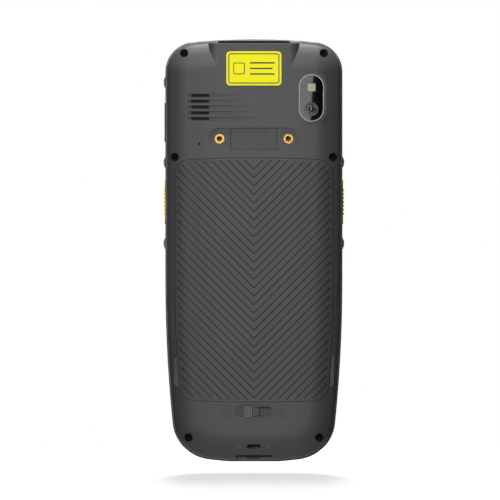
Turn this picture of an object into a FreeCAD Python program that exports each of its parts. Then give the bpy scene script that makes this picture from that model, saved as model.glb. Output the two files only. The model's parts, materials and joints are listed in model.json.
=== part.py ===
import FreeCAD, Part

# Rugged hand-held barcode terminal: casings, display, keypad, scanner, camera and battery bay.
#
# Frame: millimetres, +Z up along the terminal, -Y out of its back, +Y out of its screen.
# The origin is at the middle of the foot, the flat at the bottom end.
import math
import os

import Sketcher
from FreeCAD import Placement, Rotation, Vector

doc = FreeCAD.newDocument("terminal")
dims = doc.addObject("Spreadsheet::Sheet", "dims")

SIZES = {
    # outline of the casings, seen from the back
    "body_width": 67.0,
    "body_length": 160.0,
    "top_crown_radius": 201.0,
    "top_corner_radius": 11.4,
    "taper_radius": 534.4,
    "taper_start": 68.7,
    "bottom_corner_radius": 15.4,
    "bottom_crown_radius": 131.4,
    "foot_trim": 0.35,
    # depth of the two casings on either side of their joint
    "front_depth": 11.5,
    "rear_depth": 5.5,
    "rim_step": 0.6,
    "edge_reach": 10.0,
    "edge_side_radius": 3.5,
    "rear_wall": 1.8,
    "bay_wall": 2.9,
    "front_wall": 2.0,
    "front_plate": 2.5,
    "front_edge_radius": 1.8,
    "joint_edge_radius": 0.5,
    "seal_inset": 0.4,
    "seal_width": 0.7,
    "seal_depth": 0.6,
    # running and fitting clearances
    "seam_gap": 0.15,
    "key_gap": 0.2,
    "fit_gap": 0.1,
    "shank_gap": 0.03,
    # scanner hood and window at the top
    "hood_half_width": 13.4,
    "hood_foot_half_width": 17.2,
    "hood_start": 146.0,
    "hood_flank_depth": 3.2,
    "slant_margin": 0.2,
    "window_tilt": 8.5,
    "window_tilt_start": 2.0,
    "window_drop": 0.6,
    "window_frame": 1.4,
    "window_frame_depth": 2.6,
    "window_half_width": 13.45,
    "window_rear": 6.6,
    "window_front": 1.6,
    "window_thickness": 1.2,
    "window_ledge": 1.0,
    "engine_half_width": 10.5,
    "engine_rear": 6.6,
    "engine_front": 3.9,
    "engine_low": 141.0,
    "engine_high": 154.0,
    # battery cover
    "cover_half_width": 29.75,
    "cover_top": 114.8,
    "cover_low": 22.65,
    "cover_top_radius": 390.0,
    "cover_low_radius": 520.0,
    "cover_top_corner": 5.5,
    "cover_low_corner": 6.0,
    "cover_wall": 1.5,
    "ledge_gap": 0.15,
    "groove_pitch": 3.2,
    "groove_width": 0.45,
    "groove_depth": 0.3,
    "groove_margin": 0.85,
    "groove_first": 110.55,
    "hook_width": 6.0,
    "hook_place": 15.0,
    "hook_thickness": 0.9,
    "hook_reach": 1.6,
    "catch_place": 4.7,
    "catch_width": 2.2,
    "catch_height": 1.4,
    "catch_lift": 1.45,
    "catch_reach": 1.7,
    "catch_nose": 0.6,
    "notch_length": 12.2,
    "notch_width": 2.9,
    "notch_place": 28.75,
    "notch_height": 34.6,
    "notch_depth": 2.9,
    "cover_seal_inset": 3.1,
    "cover_seal_width": 0.8,
    "cover_seal_height": 0.7,
    # battery bay and battery
    "bay_half_width": 24.0,
    "bay_low": 29.2,
    "bay_high": 109.4,
    "bay_corner": 1.4,
    "bay_floor_front": 0.5,
    "bay_floor": 1.0,
    "tray_wall": 1.3,
    "tray_low": 21.9,
    "tray_high": 118.5,
    "battery_gap": 0.3,
    "battery_corner": 1.3,
    "battery_thickness": 6.1,
    "contact_height": 2.7,
    "contact_width": 11.8,
    "contact_depth": 2.4,
    "contact_length": 2.7,
    "contact_pitch": 3.0,
    "contact_pin": 0.8,
    # latch under the cover
    "latch_height": 18.9,
    "latch_slot_width": 12.8,
    "latch_slot_height": 3.6,
    "latch_plate_width": 8.4,
    "latch_plate_corner": 0.8,
    "latch_cover_margin": 0.3,
    "latch_thickness": 0.8,
    "latch_flange_height": 5.0,
    "latch_plate_depth": 0.7,
    "latch_neck_depth": 0.8,
    "latch_foot_height": 3.4,
    "latch_foot_lift": 0.3,
    "latch_bolt_width": 2.4,
    "latch_bolt_top": 25.2,
    "latch_travel": 4.35,
    "latch_grip_width": 3.0,
    "latch_grip_height": 4.1,
    "latch_grip_corner": 0.3,
    "latch_grip_proud": 0.05,
    "latch_rib_pitch": 0.6,
    "latch_rib_gap": 0.25,
    "latch_rib_depth": 0.2,
    "latch_rib_margin": 0.4,
    "latch_dish": 0.9,
    "latch_dish_depth": 0.4,
    "stud_place": 8.8,
    "stud_drop": 3.9,
    "stud_radius": 0.9,
    "retainer_width": 19.0,
    "retainer_height": 2.9,
    "retainer_drop": 3.25,
    "retainer_thickness": 0.5,
    # screws
    "screw_top_x": 26.4,
    "screw_top_z": 154.4,
    "screw_mid_x": 29.88,
    "screw_mid_z": 115.1,
    "screw_low_x": 24.7,
    "screw_low_z": 9.18,
    "screw_head_radius": 1.45,
    "screw_head_height": 1.2,
    "screw_shank_radius": 0.9,
    "screw_length": 7.1,
    "screw_bore_radius": 1.6,
    "screw_seat": 4.1,
    "socket_radius": 0.75,
    "socket_depth": 0.7,
    "boss_radius": 2.4,
    "boss_top": 3.2,
    # speaker grille
    "grille_x": -20.25,
    "grille_z": 133.85,
    "grille_pitch": 2.18,
    "grille_slot_length": 6.9,
    "grille_slot_count": 5,
    "grille_slot_height": 1.06,
    "grille_tail_height": 1.45,
    "grille_tail_start": 24.9,
    "grille_tail_depth": 0.9,
    "grille_tail_length": 15.5,
    "grille_tail_growth": 1.9,
    "sound_hole_x": -20.6,
    "sound_hole_z": 120.1,
    "sound_hole_radius": 0.45,
    "speaker_x": -19.5,
    "speaker_width": 12.0,
    "speaker_height": 11.0,
    "speaker_depth": 3.0,
    "speaker_mesh_depth": 0.2,
    "microphone_width": 3.8,
    "microphone_height": 2.6,
    "microphone_depth": 1.0,
    # threaded inserts and the recess between them
    "insert_spacing": 26.0,
    "insert_height": 122.0,
    "insert_radius": 1.8,
    "insert_boss_wall": 1.2,
    "insert_bore_radius": 1.05,
    "insert_length": 4.5,
    "recess_width": 33.8,
    "recess_height": 8.2,
    "recess_depth": 0.5,
    "plate_width": 17.8,
    "plate_depth": 1.2,
    "plate_thickness": 0.6,
    "plate_gap": 0.3,
    # camera window
    "camera_x": 21.7,
    "camera_z": 137.4,
    "camera_width": 9.5,
    "camera_length": 17.9,
    "camera_ring": 0.35,
    "camera_proud": 0.25,
    "camera_boss": 1.05,
    "camera_glass_sink": 0.15,
    "camera_glass_thickness": 0.9,
    "camera_view_margin": 1.2,
    "lens_z": 133.2,
    "lens_radius": 2.65,
    "flash_z": 141.5,
    "flash_size": 3.3,
    "camera_case": 8.5,
    "camera_case_depth": 5.2,
    "camera_holder_width": 9.6,
    "camera_holder_low": 128.6,
    "camera_holder_high": 144.2,
    "camera_holder_depth": 6.2,
    "camera_gap": 0.2,
    # label
    "label_width": 20.8,
    "label_height": 12.9,
    "label_z": 148.55,
    "label_thickness": 0.1,
    "label_corner": 1.5,
    # display
    "glass_width": 60.0,
    "glass_low": 52.0,
    "glass_high": 153.4,
    "glass_corner": 4.0,
    "glass_thickness": 1.0,
    "glass_sink": 0.5,
    "display_width": 54.6,
    "display_low": 54.6,
    "display_high": 145.8,
    "display_thickness": 2.6,
    "display_ledge": 1.6,
    "earpiece_width": 12.0,
    "earpiece_margin": 0.75,
    "earpiece_case_height": 3.4,
    "earpiece_case_corner": 0.8,
    "earpiece_case_depth": 2.0,
    "earpiece_z": 149.2,
    "earpiece_slot": 1.2,
    # keypad
    "bezel_inset": 3.4,
    "bezel_high": 50.4,
    "bezel_thickness": 1.4,
    "bezel_sink": 0.2,
    "bezel_ledge": 1.2,
    "key_width": 11.0,
    "key_height": 5.3,
    "key_corner": 1.5,
    "key_pitch_x": 12.7,
    "mat_side": 1.27,
    "mat_rise": 4.6,
    "mat_drop": 1.8,
    "nub_radius": 1.3,
    "key_pitch_z": 7.2,
    "key_row_low": 14.0,
    "key_proud": 0.3,
    "key_flange": 0.5,
    "key_flange_thickness": 0.6,
    "key_top_radius": 0.45,
    "nav_row": 44.3,
    "nav_key_width": 14.5,
    "nav_key_height": 6.4,
    "nav_key_place": 17.7,
    "scan_key_width": 17.4,
    "scan_key_height": 8.2,
    "scan_key_proud": 0.25,
    "key_travel": 0.5,
    "mat_thickness": 0.6,
    "board_thickness": 0.8,
    "dome_radius": 2.0,
    "dome_height": 0.25,
    # keys in the long sides
    "side_key_height": 98.2,
    "side_key_length": 16.8,
    "side_key_depth": 4.4,
    "side_key_y": 3.0,
    "side_key_proud": 0.35,
    "side_key_rib": 0.35,
    "side_key_rib_pitch": 1.48,
    "side_key_rib_count": 7,
    "side_key_flange": 0.6,
    "side_key_flange_thickness": 0.8,
    "rocker_height": 128.4,
    "rocker_length": 14.7,
    "rocker_depth": 3.2,
    "rocker_proud": 0.4,
    "guard_proud": 0.7,
    "guard_base": 4.7,
    "guard_top": 1.7,
    "guard_depth": 7.0,
    "guard_low": 82.5,
    "guard_mid": 113.2,
    "guard_high": 143.5,
    # main board and data socket
    "board_inset": 6.4,
    "board_rear": 1.2,
    "board_spacing": 1.0,
    "pillar_x": 22.0,
    "pillar_radius": 1.5,
    "pillar_low": 40.0,
    "pillar_high": 104.0,
    "usb_y": 3.6,
    "usb_width": 8.9,
    "usb_height": 3.2,
    "usb_length": 7.2,
    "shield_depth": 1.6,
    "shield_0_x": -9.0,
    "shield_0_z": 115.0,
    "shield_0_width": 22.0,
    "shield_0_height": 30.0,
    "shield_1_x": 13.0,
    "shield_1_z": 117.0,
    "shield_1_width": 16.0,
    "shield_1_height": 26.0,
    "shield_2_x": 0.0,
    "shield_2_z": 76.0,
    "shield_2_width": 36.0,
    "shield_2_height": 30.0,
    "usb_low": 0.8,
    "usb_tongue_width": 6.6,
    "usb_tongue_thickness": 0.7,
    "usb_tongue_back": 0.8,
    "usb_shell": 0.3,
    # lanyard bar at the bottom
    "lanyard_half_width": 2.6,
    "lanyard_slot_low": 4.9,
    "lanyard_slot_high": 6.6,
    "lanyard_slot_corner": 0.6,
    "lanyard_bar_low": 2.44,
    "lanyard_recess_half_width": 6.7,
    "lanyard_block_wall": 1.3,
    "lanyard_block_rise": 1.4,
    "lanyard_recess_low": 1.1,
    "lanyard_passage_rear": 5.4,
    "lanyard_passage_front": 4.0,
}
for row, (alias, size) in enumerate(SIZES.items(), start=1):
    dims.set(f"A{row}", alias)
    dims.set(f"B{row}", str(size))
    dims.setAlias(f"B{row}", alias)
doc.recompute()

# the joint between the casings, placed so that the whole terminal is centred on y = 0
JOINT = "((dims.rear_depth + dims.camera_proud - dims.front_depth - dims.scan_key_proud) / 2)"
BACK = f"({JOINT} - dims.rear_depth)"
FRONT = f"({JOINT} + dims.front_depth)"
SIDE = "(dims.body_width / 2)"
EDGE_CROWN = (
    "(((dims.edge_reach - dims.edge_side_radius)^2 + dims.rear_depth^2 - dims.edge_side_radius^2)"
    " / (2 * (dims.rear_depth - dims.edge_side_radius)))"
)
BACKWARD = Rotation(Vector(1, 0, 0), 90)


def number(text):
    """The value of a size formula."""
    value = dims.evalExpression(str(text))
    return float(getattr(value, "Value", value))


def bind(thing, place, text):
    thing.setExpression(place, str(text))


# Sketches

def sketch_at(name, y, body=None):
    """A sketch across the terminal at depth y: its x is X, its y is Z and it faces the back."""
    if body is None:
        sketch = doc.addObject("Sketcher::SketchObject", name)
        sketch.Placement = Placement(Vector(0, number(y), 0), BACKWARD)
        bind(sketch, "Placement.Base.y", y)
        return sketch
    sketch = body.newObject("Sketcher::SketchObject", name)
    plane = [f for f in body.Origin.OriginFeatures if f.Role == "XZ_Plane"][0]
    sketch.AttachmentSupport = [(plane, "")]
    sketch.MapMode = "FlatFace"
    sketch.AttachmentOffset = Placement(Vector(0, 0, -number(y)), Rotation())
    bind(sketch, "AttachmentOffset.Base.z", f"-1 * ({y})")
    return sketch


def level_sketch(name, z):
    """A sketch across the terminal's length at height z: its x is X and its y is Y."""
    sketch = doc.addObject("Sketcher::SketchObject", name)
    sketch.Placement = Placement(Vector(0, 0, number(z)), Rotation())
    bind(sketch, "Placement.Base.z", z)
    return sketch


def fix(sketch, kind, *where_and_size):
    """Adds a constraint whose size is a formula."""
    *where, text = where_and_size
    index = sketch.addConstraint(Sketcher.Constraint(kind, *where, number(text)))
    bind(sketch, f"Constraints[{index}]", text)


def closed_path(sketch, points):
    """Draws straight runs and arcs. A point is (x, y), or (x, y, centre x, centre y, fixed axis, turn)
    where an arc leaves it: turn is 1 for anticlockwise, and the fixed axis of its centre is X or Y."""
    count = len(points)
    ends = []
    first = sketch.GeometryCount
    for i, point in enumerate(points):
        following = points[(i + 1) % count]
        start = Vector(number(point[0]), number(point[1]), 0)
        end = Vector(number(following[0]), number(following[1]), 0)
        if len(point) == 2:
            sketch.addGeometry(Part.LineSegment(start, end))
            ends.append((1, 2))
            continue
        centre = Vector(number(point[2]), number(point[3]), 0)
        if point[5] < 0:
            start, end = end, start
        angles = [math.atan2(p.y - centre.y, p.x - centre.x) for p in (start, end)]
        circle = Part.Circle(centre, Vector(0, 0, 1), (start - centre).Length)
        sketch.addGeometry(Part.ArcOfCircle(circle, angles[0], angles[1]))
        ends.append((1, 2) if point[5] > 0 else (2, 1))
    for i, point in enumerate(points):
        before = (i - 1) % count
        sketch.addConstraint(
            Sketcher.Constraint("Coincident", first + before, ends[before][1], first + i, ends[i][0])
        )
        fix(sketch, "DistanceX", -1, 1, first + i, ends[i][0], point[0])
        fix(sketch, "DistanceY", -1, 1, first + i, ends[i][0], point[1])
        if len(point) > 2:
            axis = {"X": ("DistanceX", point[2]), "Y": ("DistanceY", point[3])}[point[4]]
            fix(sketch, axis[0], -1, 1, first + i, 3, axis[1])


def rectangle(sketch, x, y, width, height):
    left, right = f"({x}) - ({width}) / 2", f"({x}) + ({width}) / 2"
    low, high = f"({y}) - ({height}) / 2", f"({y}) + ({height}) / 2"
    closed_path(sketch, [(left, low), (right, low), (right, high), (left, high)])


def rounded_rectangle(sketch, x, y, width, height, radius):
    left, right = f"({x}) - ({width}) / 2", f"({x}) + ({width}) / 2"
    low, high = f"({y}) - ({height}) / 2", f"({y}) + ({height}) / 2"
    in_left, in_right = f"{left} + ({radius})", f"{right} - ({radius})"
    in_low, in_high = f"{low} + ({radius})", f"{high} - ({radius})"
    closed_path(
        sketch,
        [
            (in_left, low),
            (in_right, low, in_right, in_low, "X", 1),
            (right, in_low),
            (right, in_high, in_right, in_high, "X", 1),
            (in_right, high),
            (in_left, high, in_left, in_high, "X", 1),
            (left, in_high),
            (left, in_low, in_left, in_low, "X", 1),
        ],
    )


def stadium(sketch, x, y, width, height):
    """A slot lying along the sketch's x, or along its y where it is taller than wide."""
    along = number(width) > number(height)
    radius = f"(({height if along else width}) / 2)"
    left, right = f"({x}) - ({width}) / 2", f"({x}) + ({width}) / 2"
    low, high = f"({y}) - ({height}) / 2", f"({y}) + ({height}) / 2"
    if along:
        near, far = f"{left} + {radius}", f"{right} - {radius}"
        points = [(near, low), (far, low, far, y, "X", 1), (far, high), (near, high, near, y, "X", 1)]
    else:
        near, far = f"{low} + {radius}", f"{high} - {radius}"
        points = [(left, far), (left, near, x, near, "Y", 1), (right, near), (right, far, x, far, "Y", 1)]
    closed_path(sketch, points)


def circle(sketch, x, y, radius):
    index = sketch.addGeometry(
        Part.Circle(Vector(number(x), number(y), 0), Vector(0, 0, 1), number(radius))
    )
    fix(sketch, "DistanceX", -1, 1, index, 3, x)
    fix(sketch, "DistanceY", -1, 1, index, 3, y)
    fix(sketch, "Radius", index, radius)


BODY = {
    "side": SIDE,
    "top": "dims.body_length",
    "low": "-dims.foot_trim",
    "top_radius": "dims.top_crown_radius",
    "top_corner": "dims.top_corner_radius",
    "low_radius": "dims.bottom_crown_radius",
    "low_corner": "dims.bottom_corner_radius",
    "taper_inset": "0",
}
COVER = {
    "side": "dims.cover_half_width",
    "top": "dims.cover_top",
    "low": "dims.cover_low",
    "top_radius": "dims.cover_top_radius",
    "top_corner": "dims.cover_top_corner",
    "low_radius": "dims.cover_low_radius",
    "low_corner": "dims.cover_low_corner",
    "taper_inset": f"({SIDE} - dims.cover_half_width)",
}


def outline(sketch, shape, inset):
    """The crowned and tapered outline of the casings or of the cover, moved in by inset.
    It starts up the +X side where the taper begins, and runs anticlockwise."""
    side, top, low = (number(shape[k]) for k in ("side", "top", "low"))
    radii = {
        "top": f"{shape['top_radius']} - ({inset})",
        "top_corner": f"{shape['top_corner']} - ({inset})",
        "taper": f"dims.taper_radius - {shape['taper_inset']} - ({inset})",
        "low_corner": f"{shape['low_corner']} - ({inset})",
        "low": f"{shape['low_radius']} - ({inset})",
    }
    size = {k: number(v) for k, v in radii.items()}
    shift = number(inset)
    taper_start = number("dims.taper_start")
    top_centre = Vector(0, top - number(shape["top_radius"]), 0)
    low_centre = Vector(0, low + number(shape["low_radius"]), 0)
    reach = size["top"] - size["top_corner"]
    corner_x = side - number(shape["top_corner"])
    top_corner = Vector(corner_x, top_centre.y + math.sqrt(reach**2 - corner_x**2), 0)
    taper_centre = Vector(side - shift - size["taper"], taper_start, 0)
    # the lower corner's centre lies where the circles of the taper and of the bottom, less its radius, cross
    from_taper = size["taper"] - size["low_corner"]
    from_low = size["low"] - size["low_corner"]
    across = low_centre - taper_centre
    gap = across.Length
    along = (from_taper**2 - from_low**2 + gap**2) / (2 * gap)
    unit = across / gap
    aside = math.sqrt(from_taper**2 - along**2)
    low_corner = taper_centre + unit * along + Vector(unit.y, -unit.x, 0) * aside

    def arc(centre, radius, start, end):
        ring = Part.Circle(centre, Vector(0, 0, 1), radius)
        return Part.ArcOfCircle(ring, math.radians(start), math.radians(end))

    def bearing(a, b):
        return math.degrees(math.atan2(b.y - a.y, b.x - a.x))

    def mirrored(p):
        return Vector(-p.x, p.y, 0)

    top_turn = bearing(top_centre, top_corner)
    taper_turn = bearing(taper_centre, low_corner)
    low_turn = bearing(low_centre, low_corner)
    edge = side - shift
    sketch.addGeometry(
        [
            Part.LineSegment(Vector(edge, taper_start, 0), Vector(edge, top_corner.y, 0)),
            arc(top_corner, size["top_corner"], 0, top_turn),
            arc(top_centre, size["top"], top_turn, 180 - top_turn),
            arc(mirrored(top_corner), size["top_corner"], 180 - top_turn, 180),
            Part.LineSegment(Vector(-edge, top_corner.y, 0), Vector(-edge, taper_start, 0)),
            arc(mirrored(taper_centre), size["taper"], 180, 180 - taper_turn),
            arc(mirrored(low_corner), size["low_corner"], 180 - taper_turn, 180 - low_turn),
            arc(low_centre, size["low"], 180 - low_turn, 360 + low_turn),
            arc(low_corner, size["low_corner"], low_turn, taper_turn),
            arc(taper_centre, size["taper"], taper_turn, 0),
        ]
    )
    for i in range(10):
        sketch.addConstraint(Sketcher.Constraint("Tangent", i, 2, (i + 1) % 10, 1))
    named = [
        (1, "top_corner"),
        (2, "top"),
        (3, "top_corner"),
        (5, "taper"),
        (6, "low_corner"),
        (7, "low"),
        (8, "low_corner"),
        (9, "taper"),
    ]
    for index, key in named:
        fix(sketch, "Radius", index, radii[key])
    for index, point, sign in ((0, 1, ""), (4, 2, "-")):
        sketch.addConstraint(Sketcher.Constraint("Vertical", index))
        fix(sketch, "DistanceX", -1, 1, index, point, f"{sign}1 * ({shape['side']} - ({inset}))")
        fix(sketch, "DistanceY", -1, 1, index, point, "dims.taper_start")
    for index in (2, 7):
        sketch.addConstraint(Sketcher.Constraint("PointOnObject", index, 3, -2))
    fix(sketch, "DistanceY", -1, 1, 2, 3, f"{shape['top']} - {shape['top_radius']}")
    fix(sketch, "DistanceY", -1, 1, 7, 3, f"{shape['low']} + {shape['low_radius']}")


# Solids

def extrude(name, sketch, backward, forward="0"):
    """Extrudes a sketch towards the back, and towards the screen where forward is more than 0."""
    solid = doc.addObject("Part::Extrusion", name)
    solid.Base = sketch
    solid.DirMode = "Normal"
    solid.Solid = True
    solid.FaceMakerClass = "Part::FaceMakerBullseye"
    bind(solid, "LengthFwd", backward)
    if forward != "0":
        bind(solid, "LengthRev", forward)
    return solid


def prism(name, draw, y_front, y_back, *sizes):
    """A drawn outline between two depths."""
    sketch = sketch_at(name + "_outline", y_front)
    draw(sketch, *sizes)
    return extrude(name, sketch, f"({y_front}) - ({y_back})")


def box(name, x, y, z):
    """A block between pairs of limits."""
    block = doc.addObject("Part::Box", name)
    for size, limits, axis in (("Length", x, "x"), ("Width", y, "y"), ("Height", z, "z")):
        bind(block, size, f"({limits[1]}) - ({limits[0]})")
        bind(block, f"Placement.Base.{axis}", limits[0])
    return block


def rod(name, x, z, y_front, y_back, radius):
    """A round rod along Y."""
    rounded = doc.addObject("Part::Cylinder", name)
    rounded.Placement = Placement(Vector(0, 0, 0), BACKWARD)
    bind(rounded, "Radius", radius)
    bind(rounded, "Height", f"({y_front}) - ({y_back})")
    for axis, place in (("x", x), ("y", y_front), ("z", z)):
        bind(rounded, f"Placement.Base.{axis}", place)
    return rounded


def cut(name, base, *tools):
    tool = tools[0] if len(tools) == 1 else fuse(name + "_tools", *tools)
    result = doc.addObject("Part::Cut", name)
    result.Base = base
    result.Tool = tool
    return result


def fuse(name, *solids):
    result = doc.addObject("Part::MultiFuse", name)
    result.Shapes = list(solids)
    return result


def common(name, *solids):
    result = doc.addObject("Part::MultiCommon", name)
    result.Shapes = list(solids)
    return result


def plain_body(name, draw, y_front, y_back, *sizes):
    """A body with one pad between two depths. Returns the body and its pad."""
    body = doc.addObject("PartDesign::Body", name)
    sketch = sketch_at(name + "_outline", y_front, body)
    draw(sketch, *sizes)
    return body, add_pad(body, sketch, f"({y_front}) - ({y_back})")


def add_pad(body, sketch, length):
    pad = body.newObject("PartDesign::Pad", sketch.Name + "_pad")
    pad.Profile = sketch
    bind(pad, "Length", length)
    sketch.Visibility = False
    return pad


def padded(body, name, draw, y_front, y_back, *sizes):
    """Adds another pad to a body."""
    sketch = sketch_at(name, y_front, body)
    draw(sketch, *sizes)
    return add_pad(body, sketch, f"({y_front}) - ({y_back})")


def pocketed(body, name, draw, y_front, y_back, *sizes):
    """Cuts a drawn outline out of a body between two depths."""
    sketch = sketch_at(name, y_front, body)
    draw(sketch, *sizes)
    pocket = body.newObject("PartDesign::Pocket", name + "_pocket")
    pocket.Profile = sketch
    pocket.Reversed = True
    bind(pocket, "Length", f"({y_front}) - ({y_back})")
    return pocket


def rounded_edges(body, feature, radius, chosen):
    """Rounds the edges of a feature that chosen picks."""
    doc.recompute()
    names = [f"Edge{i + 1}" for i, edge in enumerate(feature.Shape.Edges) if chosen(edge)]
    fillet = body.newObject("PartDesign::Fillet", feature.Name + "_round")
    fillet.Base = (feature, names)
    bind(fillet, "Radius", radius)
    return fillet


def edges_at_depth(y):
    """Picks the edges that lie wholly at one depth."""
    depth = number(y)
    return lambda edge: max(abs(edge.BoundBox.YMin - depth), abs(edge.BoundBox.YMax - depth)) < 1e-4


pieces = {}


def piece(label, thing):
    """Names a finished sub-part."""
    thing.Label = label
    pieces[label] = thing
    return thing


# Surfaces that the rear casing and the battery cover share

def rear_form(name, inset, forward="0"):
    """The crowned back of the terminal, moved in by inset: an extruded outline whose rear edge is
    taken away by a two-arc profile carried round it."""
    path = sketch_at(name + "_path", JOINT)
    outline(path, BODY, f"dims.rim_step + {inset}")
    slab = extrude(name + "_slab", path, f"dims.rear_depth - ({inset})", forward)
    profile = level_sketch(name + "_profile", "dims.taper_start")
    wall = f"{SIDE} - dims.rim_step"
    crown_x, crown_y = f"{wall} - dims.edge_reach", f"{BACK} + {EDGE_CROWN}"
    turn_x = f"{wall} - dims.edge_side_radius"
    share = f"(({EDGE_CROWN} - ({inset})) / ({EDGE_CROWN} - dims.edge_side_radius))"
    meet_x = f"({crown_x}) + ({turn_x} - ({crown_x})) * {share}"
    meet_y = f"({crown_y}) + ({JOINT} - ({crown_y})) * {share}"
    face = f"{BACK} + ({inset})"
    closed_path(
        profile,
        [
            (f"{wall} - ({inset})", JOINT, turn_x, JOINT, "X", -1),
            (meet_x, meet_y, crown_x, crown_y, "X", -1),
            (crown_x, face),
            (crown_x, f"{BACK} - 2"),
            (f"{wall} + 2", f"{BACK} - 2"),
            (f"{wall} + 2", JOINT),
        ],
    )
    ring = doc.addObject("Part::Sweep", name + "_edge")
    ring.Sections = [profile]
    ring.Spine = (path, [f"Edge{i}" for i in range(1, 11)])
    ring.Solid = True
    return cut(name, slab, ring)


def side_sketch(name, x):
    """A sketch across the terminal's width at x: its x is Y and its y is Z."""
    sketch = doc.addObject("Sketcher::SketchObject", name)
    sketch.Placement = Placement(Vector(number(x), 0, 0), Rotation(Vector(1, 1, 1), 120))
    bind(sketch, "Placement.Base.x", x)
    return sketch


def side_prism(name, sign, draw, inner, outer, *sizes):
    """A drawn outline between two distances from the middle, on the +X or the -X side."""
    sketch = side_sketch(name + "_outline", inner if sign > 0 else f"-1 * ({outer})")
    draw(sketch, *sizes)
    return extrude(name, sketch, f"({outer}) - ({inner})")


def compound(name, *solids):
    group = doc.addObject("Part::Compound", name)
    group.Links = list(solids)
    return group


def circles(sketch, places, radius):
    for x, z in places:
        circle(sketch, x, z, radius)


def span(middle, size):
    """The two limits of a size about a middle."""
    return f"({middle}) - ({size}) / 2", f"({middle}) + ({size}) / 2"


BAY_BACK = "(dims.bay_floor_front - dims.bay_floor)"
BEZEL_FRONT = f"({FRONT} - dims.bezel_sink)"
BEZEL_BACK = f"({BEZEL_FRONT} - dims.bezel_thickness)"
FLANGE_FRONT = f"({BEZEL_BACK} - dims.fit_gap)"
KEY_BACK = f"({FLANGE_FRONT} - dims.key_flange_thickness)"
BOARD_FRONT = "(dims.board_rear + dims.board_thickness)"
KEYBOARD_BACK = f"({BOARD_FRONT} + dims.board_spacing)"
KEYBOARD_FRONT = f"({KEYBOARD_BACK} + dims.board_thickness)"
MAT_BACK = f"({KEYBOARD_FRONT} + dims.dome_height + dims.fit_gap / 2)"
MAT_FRONT = f"({MAT_BACK} + dims.mat_thickness)"
NUB_FRONT = f"({KEY_BACK} - dims.key_travel - dims.fit_gap)"
GLASS_FRONT = f"({FRONT} - dims.glass_sink)"
GLASS_BACK = f"({GLASS_FRONT} - dims.glass_thickness)"
CAMERA_FRONT = f"({BACK} - dims.camera_proud)"
CAMERA_SHELF = f"({CAMERA_FRONT} + dims.camera_glass_sink + dims.camera_glass_thickness)"
INNER_BACK = f"({BACK} + dims.rear_wall)"
SCREW_SEAT = f"({BACK} + dims.screw_seat)"
SCREWS = [
    (f"{sign} * dims.screw_{row}_x", f"dims.screw_{row}_z")
    for row in ("top", "mid", "low")
    for sign in (-1, 1)
]
COVER_INNER = "dims.cover_wall"
LEDGE = "(dims.cover_wall + dims.ledge_gap)"

# Keys: name, x, z, width and height. Seen from the screen side, +X is on the left.
KEYS = [
    ("key_menu", "dims.nav_key_place", "dims.nav_row", "dims.nav_key_width", "dims.nav_key_height"),
    ("key_scan", "0", "dims.nav_row", "dims.scan_key_width", "dims.scan_key_height"),
    ("key_power", "-dims.nav_key_place", "dims.nav_row", "dims.nav_key_width", "dims.nav_key_height"),
]
KEY_NAMES = [
    ["key_1", "key_2", "key_3", "key_delete"],
    ["key_4", "key_5", "key_6", "key_up"],
    ["key_7", "key_8", "key_9", "key_down"],
    ["key_star", "key_0", "key_hash", "key_enter"],
]
for row, names in enumerate(KEY_NAMES):
    for column, key_name in enumerate(names):
        KEYS.append(
            (
                key_name,
                f"{1.5 - column} * dims.key_pitch_x",
                f"dims.key_row_low + {3 - row} * dims.key_pitch_z",
                "dims.key_width",
                "dims.key_height",
            )
        )

# Rear casing: the crowned shell with the recess for the cover
rear_outer = rear_form("rear_outer", "0")
ledge_form = rear_form("ledge_form", LEDGE)
cover_opening = prism("cover_opening", outline, JOINT, f"{BACK} - 1", COVER, "-1 * dims.seam_gap")
bay_band = box(
    "bay_band",
    (f"-{SIDE} - 1", f"{SIDE} + 1"),
    (f"{BACK} - 1", f"{JOINT} + 2"),
    ("dims.tray_low", "dims.tray_high"),
)
end_cavities = cut("end_cavities", rear_form("wall_cavity", "dims.rear_wall", "1"), bay_band)
bay_cavity = rear_form("bay_cavity", "dims.bay_wall", "1")

hood_profile = level_sketch("hood_profile", "dims.hood_start")


def flank_point(sign, turn):
    """A point of the rolled flank: its turn grows from the back to the foot of the hood."""
    return (
        f"{sign} * (dims.hood_half_width"
        f" + (dims.hood_foot_half_width - dims.hood_half_width) * sin({turn}))",
        f"{BACK} + dims.hood_flank_depth * (1 - cos({turn}))",
    )


FLANK_TURNS = (0, 18, 36, 54, 72, 90)
closed_path(
    hood_profile,
    [
        ("-dims.hood_foot_half_width", JOINT),
        ("dims.hood_foot_half_width", JOINT),
        *(flank_point(1, turn) for turn in reversed(FLANK_TURNS)),
        *(flank_point(-1, turn) for turn in FLANK_TURNS),
    ],
)
hood_block = extrude("hood_block", hood_profile, "dims.body_length - dims.hood_start + 1")
hood_plan = prism("hood_plan", outline, JOINT, f"{BACK} - 1", BODY, "dims.rim_step")
hood = common("hood", hood_block, hood_plan)

rear_skin = fuse("rear_skin", cut("rear_rim", rear_outer, cover_opening), ledge_form, hood)
rear_hollow = cut("rear_hollow", rear_skin, bay_cavity, end_cavities)


# Scanner window in the tilted end face
def window_point(along, up):
    """A point in the tilted plane: along it towards the screen, and up from it."""
    tilt = "dims.window_tilt"
    low_z = "(dims.body_length - dims.window_drop)"
    return (
        f"dims.window_tilt_start + ({along}) * cos({tilt}) - ({up}) * sin({tilt})",
        f"{low_z} + ({along}) * sin({tilt}) + ({up}) * cos({tilt})",
    )


def window_block(name, half_width, along, up):
    sketch = side_sketch(name + "_side", f"-1 * ({half_width})")
    corners = [(along[0], up[0]), (along[1], up[0]), (along[1], up[1]), (along[0], up[1])]
    closed_path(sketch, [window_point(*corner) for corner in corners])
    return extrude(name, sketch, f"2 * ({half_width})")


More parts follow.
